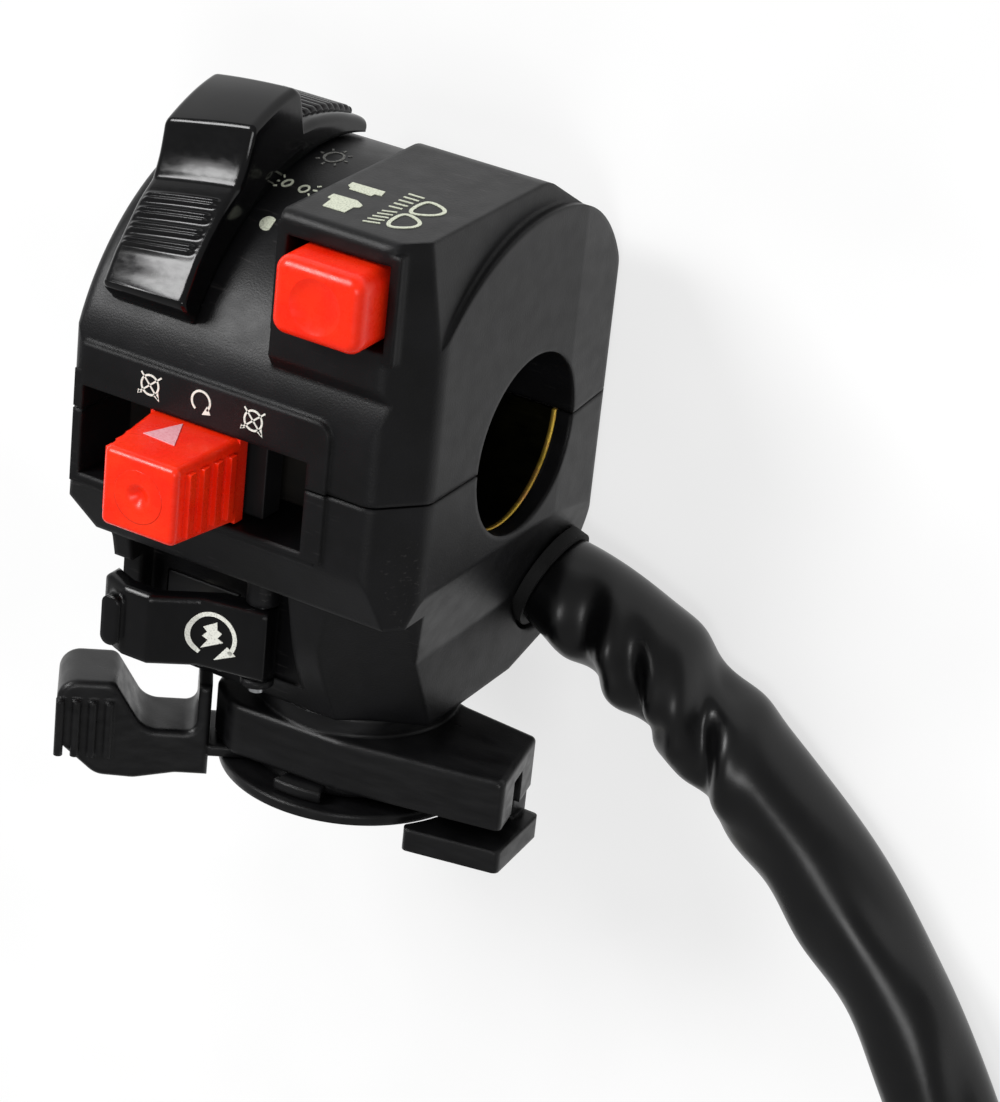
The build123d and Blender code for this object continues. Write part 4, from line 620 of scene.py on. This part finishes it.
def make_light_lever(material):
    """The lever as one moulded piece: tail, block, saddle and ridged pad, with its knurled tail pad and
    the web that goes down through the drum's slot."""
    angles = np.linspace(LEVER_TAIL, LEVER_TIP, LEVER_ROWS)
    body = over_drum("light_lever_moulded", angles, LEVER_LEFT, LEVER_RIGHT, LEVER_ROUND, lever_height,
                     LEVER_GAP, material, "light_lever")
    over_drum("light_lever_knurled_pad", np.linspace(KNURL_TO, KNURL_FROM, KNURL_ROWS),
              LEVER_LEFT + KNURL_INSET, KNURL_RIGHT, KNURL_ROUND, knurl_height, KNURL_FOOT, material,
              "light_lever")
    over_drum("light_lever_web", np.linspace(WEB_MIDDLE - WEB_HALF, WEB_MIDDLE + WEB_HALF, WEB_ROWS),
              WEB_LEFT, WEB_RIGHT, WEB_ROUND, lambda a, x: np.full_like(a, WEB_TOP), WEB_DEEP - DRUM_R,
              material, "light_lever")
    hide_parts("light_lever")


# Face of the kill knob

DISH_R, DISH_DEPTH, DISH_OPEN = 7.0, 0.8, 3.2496
FACE_HOLLOW, DIMPLE_DEPTH, DIMPLE_R = 0.04, 0.72, 1.8
FACE_RINGS, FACE_TURN = 40, 72
FACE_CLOSE_SHARE = 0.998
FACE_SINK, FACE_CLEAR = 0.1, 0.01


def make_knob_face(material):
    """Nearly flat face with a round dimple, set in the knob's dish. Its front is a hollow that falls with
    one less the square of the way out, less the dimple's depth times one less a smooth step of the way
    out. Its back is the dish's own sphere, sunk a little, and both meet at the dish's edge."""
    low, high = (np.array(corner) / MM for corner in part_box("kill_knob"))
    x, y, front = (low[0] + high[0]) / 2, (low[1] + high[1]) / 2, high[2]
    out = np.append(np.linspace(0, DISH_OPEN, FACE_RINGS + 1)[1:-1],
                    (DISH_OPEN * FACE_CLOSE_SHARE, DISH_OPEN))
    sphere = front - DISH_DEPTH + DISH_R - np.sqrt(DISH_R ** 2 - out ** 2)
    way = out / DISH_OPEN
    step = np.clip(out / DIMPLE_R, 0, 1)
    dimple = DIMPLE_DEPTH * (1 - step ** 2 * (3 - 2 * step))
    face = sphere[-1] - FACE_HOLLOW * (1 - way ** 2) - dimple
    back = sphere - FACE_SINK * (1 - way) - FACE_CLEAR
    rings = np.concatenate([out, out[::-1]])
    depth = np.concatenate([face, back[::-1]])
    r, turn = np.meshgrid(rings, np.linspace(0, 2 * math.pi, FACE_TURN, endpoint=False), indexing="ij")
    points = np.stack([x + r * np.cos(turn), y + r * np.sin(turn),
                       np.repeat(depth[:, None], FACE_TURN, 1)], -1)
    last = (len(rings) - 1) * FACE_TURN
    faces = tube_faces(len(rings), FACE_TURN).tolist()
    faces += [list(range(FACE_TURN)), list(range(last, last + FACE_TURN))[::-1]]
    outwards(piece("kill_knob_face", points.reshape(-1, 3), faces, material, "kill_knob"))


# Coil springs

COIL_STEPS, WIRE_ROUND = 26, 10
# Each spring: its node, the joint that presses it, how far it gives way, the wire's radius, its turns.
SPRINGS = (("dimmer_spring", "dimmer_press", 3.1, 0.3, 6),
           ("start_spring", "start_plunger_slide", 1.3, 0.25, 3))


def make_spring(node, joint, travel, wire, turns, material):
    """Compression spring along Z in the place of a CAD node: a circle of the wire's radius carried round
    and along the axis, with both ends closed. The joint and the travel are not used."""
    low, high = (np.array(corner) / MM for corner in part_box(node))
    middle, height = (low + high) / 2, high[2] - low[2]
    t = np.linspace(0, 1, turns * COIL_STEPS)
    turn = 2 * math.pi * turns * t
    out = np.stack([np.cos(turn), np.sin(turn), np.zeros_like(turn)], -1)
    centre = middle + out * ((high[0] - low[0]) / 2 - wire)
    centre[:, 2] = low[2] + wire + t * (height - 2 * wire)
    around = np.linspace(0, 2 * math.pi, WIRE_ROUND, endpoint=False)
    ring_out, ring_up = np.cos(around)[None, :, None] * wire, np.sin(around)[None, :, None] * wire
    points = centre[:, None, :] + out[:, None, :] * ring_out + np.array([0.0, 0.0, 1.0]) * ring_up
    last = (len(t) - 1) * WIRE_ROUND
    faces = tube_faces(len(t), WIRE_ROUND).tolist()
    faces += [list(range(WIRE_ROUND)), list(range(last, last + WIRE_ROUND))[::-1]]
    spring = outwards(piece(node + "_coiled", points.reshape(-1, 3), faces, material, "casing"))
    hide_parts(node)
    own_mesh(spring)


# Printed symbols

PRINT_LIFT = 0.04
NUDGE = 0.01
SUN_AT = (-3.85, 2.7)
ENGINE_LEFT, ENGINE_RIGHT, ENGINE_Y = -10.51, 3.45, 6.12


def stroke(points, wide, closed=False):
    """Ribbon of one width along a line of points: each point moved half a width to both sides,
    along the normal of its two neighbours. Returns points and quads."""
    p = np.asarray(points, float)
    if closed:
        way = np.roll(p, -1, 0) - np.roll(p, 1, 0)
    else:
        way = np.gradient(p, axis=0)
    way /= np.linalg.norm(way, axis=1)[:, None]
    side = np.stack([-way[:, 1], way[:, 0]], -1) * wide / 2
    made = np.concatenate([p + side, p - side])
    n = len(p)
    i = np.arange(n if closed else n - 1)
    j = (i + 1) % n
    return made, np.stack([i, n + i, n + j, j], -1).tolist()


def arc(centre, rx, ry, a0, a1, count=40):
    """Points of an ellipse arc between two angles in degrees, counted from +u towards +v."""
    a = np.radians(np.linspace(a0, a1, count))
    return np.stack([centre[0] + rx * np.cos(a), centre[1] + ry * np.sin(a)], -1)


def ring(centre, rx, ry, wide, tilt=0.0, count=40):
    """Closed ellipse ribbon, tilted by degrees."""
    a = np.radians(np.linspace(0, 360, count, endpoint=False))
    u, v, t = rx * np.cos(a), ry * np.sin(a), math.radians(tilt)
    p = np.stack([centre[0] + u * math.cos(t) - v * math.sin(t),
                  centre[1] + u * math.sin(t) + v * math.cos(t)], -1)
    return stroke(p, wide, True)


def rounded(points, times=3):
    """Closed line whose corners are cut again and again, at a quarter and three quarters of each side."""
    p = np.asarray(points, float)
    for _ in range(times):
        after = np.roll(p, -1, 0)
        p = np.stack([p * 0.75 + after * 0.25, p * 0.25 + after * 0.75], 1).reshape(-1, 2)
    return p


def bar(start, end, wide, steps=7):
    """Straight ribbon, in a few steps so that it can bend with the surface under it."""
    t = np.linspace(0, 1, steps)[:, None]
    return stroke(np.array(start) * (1 - t) + np.array(end) * t, wide)


def fill(points):
    """Flat area inside a line of points, as triangles round its middle."""
    p = np.vstack([np.asarray(points, float), np.mean(points, axis=0)])
    n = len(points)
    return p, [[i, (i + 1) % n, n] for i in range(n)]


def joined(shapes):
    """Several flat shapes as one list of points and faces, all wound the same way."""
    points, faces, n = [], [], 0
    for p, f in shapes:
        points.append(p)
        for face in f:
            q = p[face]
            turn = np.sum(q[:, 0] * np.roll(q[:, 1], -1) - np.roll(q[:, 0], -1) * q[:, 1])
            faces.append([i + n for i in (face if turn > 0 else face[::-1])])
        n += len(p)
    return np.vstack(points), faces


def printed(name, shapes, surface, material, body):
    """Symbol laid on a surface, which takes flat (u, v) to points and outward normals. The film has a
    thickness, and its faces are turned to look outwards."""
    flat, faces = joined(shapes)
    points, normals = surface(flat[:, 0], flat[:, 1])
    a, b, c = (points[[face[i] for face in faces]] for i in range(3))
    facing = np.sum(np.cross(b - a, c - a) * normals[[face[0] for face in faces]])
    if facing < 0:
        faces = [face[::-1] for face in faces]
    made = piece(name, points + normals * PRINT_LIFT, faces, material, body, smooth=False)
    film = made.modifiers.new("film", "SOLIDIFY")
    film.thickness = PRINT_LIFT * 2 * MM
    film.offset = 0
    return made


def on_drum(x, arc_mm):
    """Flat x and the length round the drum from its top, towards the front."""
    a = arc_mm / DRUM_R
    normals = np.stack([np.zeros_like(a), np.cos(a), np.sin(a)], -1)
    return np.stack([x, DRUM_R * np.cos(a), DRUM_R * np.sin(a)], -1), normals


def on_bezel(x, y):
    """Flat face of the raised bezel, seen from the front."""
    return np.stack([x, y, np.full_like(x, BEZEL_Z)], -1), np.tile((0.0, 0.0, 1.0), (len(x), 1))


def on_box(x, z):
    """Flat top of the dimmer's box, seen from above."""
    return np.stack([x, np.full_like(x, BOX_TOP), z], -1), np.tile((0.0, 1.0, 0.0), (len(x), 1))


def on_start_bar(x, y):
    """The bar's face is straight between the corners of its outline."""
    corners = np.array(BAR_FACE)
    z = np.interp(x, corners[:, 0], corners[:, 1])
    slope = (np.interp(x + NUDGE, corners[:, 0], corners[:, 1]) - z) / NUDGE
    normals = np.stack([-slope, np.zeros_like(x), np.ones_like(x)], -1)
    return np.stack([x, y, z], -1), normals / np.linalg.norm(normals, axis=1)[:, None]


def on_knob_top(x, z):
    """The knob's top leans in towards its front."""
    (z0, y0), (z1, y1) = KNOB_TOP
    y = y0 + (y1 - y0) * (z - z0) / (z1 - z0)
    return np.stack([x, y, z], -1), np.tile((0.0, 1.0, 0.0), (len(x), 1))


def off_dot():
    """Dot whose right side is cut off."""
    p = arc((-4.05, 16.4), 0.98, 1.0, 0, 360, 49)[:-1]
    p[:, 0] = np.minimum(p[:, 0], -3.42)
    return [fill(p)]


def parking_lights():
    """Two lamps back to back with three short rays each."""
    return [ring((-5.42, 10.0), 0.45, 0.66, 0.27, 24), ring((-3.1, 10.1), 0.52, 0.62, 0.27, 24),
            bar((-6.72, 11.0), (-6.3, 10.86), 0.2), bar((-6.98, 10.05), (-6.45, 10.05), 0.22),
            bar((-6.6, 8.85), (-6.28, 9.25), 0.2), bar((-2.2, 10.62), (-1.9, 10.95), 0.2),
            bar((-2.05, 9.9), (-1.5, 9.8), 0.24), bar((-1.95, 9.15), (-1.5, 8.9), 0.24)]


def sun_lamp():
    """Round lamp with eight rays."""
    a = np.radians(np.arange(8) * 45 + 6)
    way = np.stack([np.cos(a), np.sin(a)], -1)
    rays = [bar(SUN_AT + w * (1.55, 1.75), SUN_AT + w * (2.0, 2.3), 0.24) for w in way]
    return [ring(SUN_AT, 1.08, 1.3, 0.3)] + rays


def engine_off(x):
    """Circle with a cross through it, whose lower ends are arrow heads."""
    c = (x, ENGINE_Y)
    return [ring(c, 1.16, 1.2, 0.24), bar((x - 1.25, 7.5), (x + 1.2, 4.72), 0.2),
            bar((x - 1.5, 4.86), (x + 1.5, 7.42), 0.2),
            fill([(x + 0.5, 5.0), (x + 1.15, 5.55), (x + 1.35, 4.45)]),
            fill([(x - 1.55, 5.25), (x - 0.98, 4.95), (x - 1.62, 4.7)])]


def engine_run():
    """Open circle that ends in an arrow head."""
    return [stroke(arc((-3.58, 6.27), 1.22, 1.25, 236, -46), 0.26),
            fill([(-3.35, 4.72), (-2.2, 4.98), (-2.72, 5.92)])]


def starter():
    """Open circle with an arrow head round a bolt."""
    bolt = [(-2.15, -23.04), (-3.82, -24.0), (-3.31, -24.54), (-3.89, -25.2), (-3.16, -25.59),
            (-4.02, -26.83), (-1.27, -25.49), (-2.0, -25.1), (-1.5, -24.38), (-2.08, -24.03)]
    return [stroke(arc((-2.65, -25.0), 2.78, 2.85, 237, -40, 60), 0.52),
            fill([(-2.3, -28.0), (-0.75, -25.9), (0.35, -26.85)]), fill(bolt)]


def button_out():
    """Side view of a button standing out of its plate."""
    return [fill([(7.3, 22.84), (6.94, 20.52), (6.36, 20.34), (6.31, 19.07), (9.27, 18.9), (10.47, 19.71),
                  (10.55, 20.49), (10.04, 20.82), (10.11, 22.78)])]


def button_in():
    """Side view of a button pressed flush with its plate."""
    return [fill([(6.1, 15.79), (5.97, 14.63), (10.13, 14.48), (10.49, 15.8), (9.66, 15.93), (9.65, 16.63),
                  (6.71, 16.54), (6.62, 16.03)])]


def beam(bowl, first, last, rays):
    """Lamp bowl with a row of rays spread evenly from the first to the last, each given as two ends."""
    t = np.linspace(0, 1, rays)[:, None, None]
    rows = np.array(first) * (1 - t) + np.array(last) * t
    return [stroke(rounded(bowl), 0.44, True)] + [bar(*row, 0.26) for row in rows]


def low_beam():
    """Lamp with slanted rays."""
    return beam([(15.15, 22.2), (14.85, 19.2), (15.55, 18.2), (17.95, 19.4), (18.0, 21.3), (16.1, 22.9)],
                ((12.85, 23.45), (14.65, 22.75)), ((12.77, 19.43), (14.3, 18.75)), 5)


def high_beam():
    """Lamp with level rays."""
    return beam([(15.0, 17.4), (14.85, 14.4), (15.55, 13.3), (18.1, 14.4), (18.15, 16.3), (16.05, 17.95)],
                ((12.65, 17.75), (14.2, 17.5)), ((12.3, 13.1), (14.3, 13.05)), 5)


def make_symbols():
    """Every printed symbol, on the face and the body that carry it."""
    ivory = pad_printed_paint("paint, pad-printed, ivory", "a2a694", "ccd0bd", 0.42)
    dim = pad_printed_paint("paint, pad-printed, worn grey", "545454", "84847f", 0.46)
    white = pad_printed_paint("paint, pad-printed, white", "b9bab2", "e4e5dc", 0.40)
    rose = pad_printed_paint("paint, pad-printed, pale rose", "e08c96", "efb0b8", 0.42)
    for name, shapes, surface, paint in (
            ("symbol_off_dot", off_dot(), on_drum, ivory),
            ("symbol_parking_lights", parking_lights(), on_drum, ivory),
            ("symbol_sun_lamp", sun_lamp(), on_drum, dim),
            ("symbol_engine_off_left", engine_off(ENGINE_LEFT), on_bezel, white),
            ("symbol_engine_run", engine_run(), on_bezel, white),
            ("symbol_engine_off_right", engine_off(ENGINE_RIGHT), on_bezel, white),
            ("symbol_button_out", button_out(), on_box, ivory),
            ("symbol_button_in", button_in(), on_box, ivory),
            ("symbol_low_beam", low_beam(), on_box, ivory),
            ("symbol_high_beam", high_beam(), on_box, ivory)):
        printed(name, shapes, surface, paint, "casing")
    printed("symbol_starter", starter(), on_start_bar, white, "start_button")
    arrow = [fill([(-7.66, 32.48), (-5.54, 27.79), (-3.21, 32.82)])]
    printed("symbol_run_arrow", arrow, on_knob_top, rose, "kill_knob")


# Scene

FLOOR_HALF = 6.0
FLOOR_DROP = 0.02
FLOOR_LIFT = 0.72


def make_floor():
    """White paper the part lies on. Seen by the camera or in a reflection it is lifted to white, and it
    keeps the part's shadow."""
    material, place = blank("paper, white backdrop")
    fibre = add(material, "ShaderNodeTexNoise", {"Vector": place, "Scale": across(40.0), "Detail": 2.0})
    tone = add(material, "ShaderNodeValToRGB", {"Fac": fibre}, stops=((0.3, "fafafa"), (0.7, "ffffff")))
    paper = add(material, "ShaderNodeBsdfDiffuse", {"Color": tone})
    path = add(material, "ShaderNodeLightPath")
    seen = add(material, "ShaderNodeMath", {0: (path, "Is Camera Ray"), 1: (path, "Is Glossy Ray")},
               operation="MAXIMUM")
    seen = add(material, "ShaderNodeMath", {0: seen, 1: (path, "Is Transmission Ray")}, operation="MAXIMUM")
    lift = add(material, "ShaderNodeMath", {0: seen, 1: FLOOR_LIFT}, operation="MULTIPLY")
    glow = add(material, "ShaderNodeEmission", {"Color": tone, "Strength": 1.0})
    both = add(material, "ShaderNodeMixShader", {0: lift, 1: paper, 2: glow})
    add(material, "ShaderNodeOutputMaterial", {"Surface": both})
    mesh = bpy.data.meshes.new("paper_floor")
    z = (REAR_Z - FLOOR_DROP) * MM
    corners = [(x * FLOOR_HALF, y * FLOOR_HALF, z) for x, y in ((-1, -1), (1, -1), (1, 1), (-1, 1))]
    mesh.from_pydata(corners, [], [(0, 1, 2, 3)])
    mesh.materials.append(material)
    floor = bpy.data.objects.new("paper_floor", mesh)
    bpy.context.scene.collection.objects.link(floor)


# Each lamp: name, place in metres, side length in metres, power in watts.
LAMPS = (
    ("window_light", (-0.55, 0.62, 0.75), 0.42, 11.8),
    ("room_fill", (0.55, 0.0, 1.1), 0.4, 3.6),
)
WORLD_STRENGTH = 0.33


def make_lights():
    """Lamps turned to the origin, and an even white sky."""
    for name, place, size, power in LAMPS:
        data = bpy.data.lights.new(name, "AREA")
        data.size = size
        data.energy = power
        lamp = bpy.data.objects.new(name, data)
        bpy.context.scene.collection.objects.link(lamp)
        lamp.location = place
        lamp.rotation_euler = (-Vector(place)).to_track_quat("-Z", "Y").to_euler()
    world = bpy.data.worlds.new("studio")
    world.use_nodes = True
    world.node_tree.nodes["Background"].inputs["Color"].default_value = linear("ffffff")
    world.node_tree.nodes["Background"].inputs["Strength"].default_value = WORLD_STRENGTH
    bpy.context.scene.world = world


def dress(material, *names):
    """Gives CAD nodes one finish."""
    for name in names:
        mesh = nodes[name].data
        mesh.materials.clear()
        mesh.materials.append(material)


make_camera()
make_loom(pvc_sleeve())
dress(spark_textured_abs(), "upper_shell", "lower_shell")
dress(polished_abs("ABS, polished moulding, black", EDGE_ROUND), "light_lever", "start_button")
make_light_lever(polished_abs("ABS, polished moulding with its own rounded edges, black", FINE_ROUND))
dress(satin_nylon(), "choke_bracket", "choke_lever", "choke_cover", "cable_keeper")
dress(plain_moulding("nylon, plain moulding, black", "08080a", "101012", 0.55), "kill_carrier",
      "start_micro_switch")
red = red_abs()
dress(red, "dimmer_button", "kill_knob")
make_knob_face(red)
dress(gold_passivated_zinc(), "bar_liner")
dress(bright_metal("steel, bright zinc plate", "a9abad", "c9cbcd", 0.3), "housing_screws", "choke_screw",
      "bracket_screws", "keeper_screw", "start_pin")
spring_steel = bright_metal("steel, drawn spring wire", "8d8f92", "b7b9bc", 0.25)
dress(spring_steel, "dimmer_spring", "kill_detent_spring", "light_detent_spring", "start_spring",
      "light_detent_ball", "kill_detent_ball")
for spring in SPRINGS:
    make_spring(*spring, spring_steel)
dress(bright_metal("brass, turned", "b08b3c", "d8b45c", 0.3), "screw_inserts", "dimmer_terminals",
      "light_contact", "kill_bridge", "plug_contacts")
dress(plain_moulding("nylon, natural moulding", "d6d0bd", "e6e2d2", 0.45), "light_carrier",
      "dimmer_switch_body", "start_plunger", "choke_washer", "plug_body")
dress(plain_moulding("phenolic laminate, dark contact board", "0b0907", "161009", 0.6), "kill_board",
      "light_wafer")
dress(gland_rubber(), "wire_gland")
dress(wire_pvc(), "wire_tails")
make_symbols()
make_floor()
make_lights()
bpy.context.scene.view_settings.view_transform = "Standard"
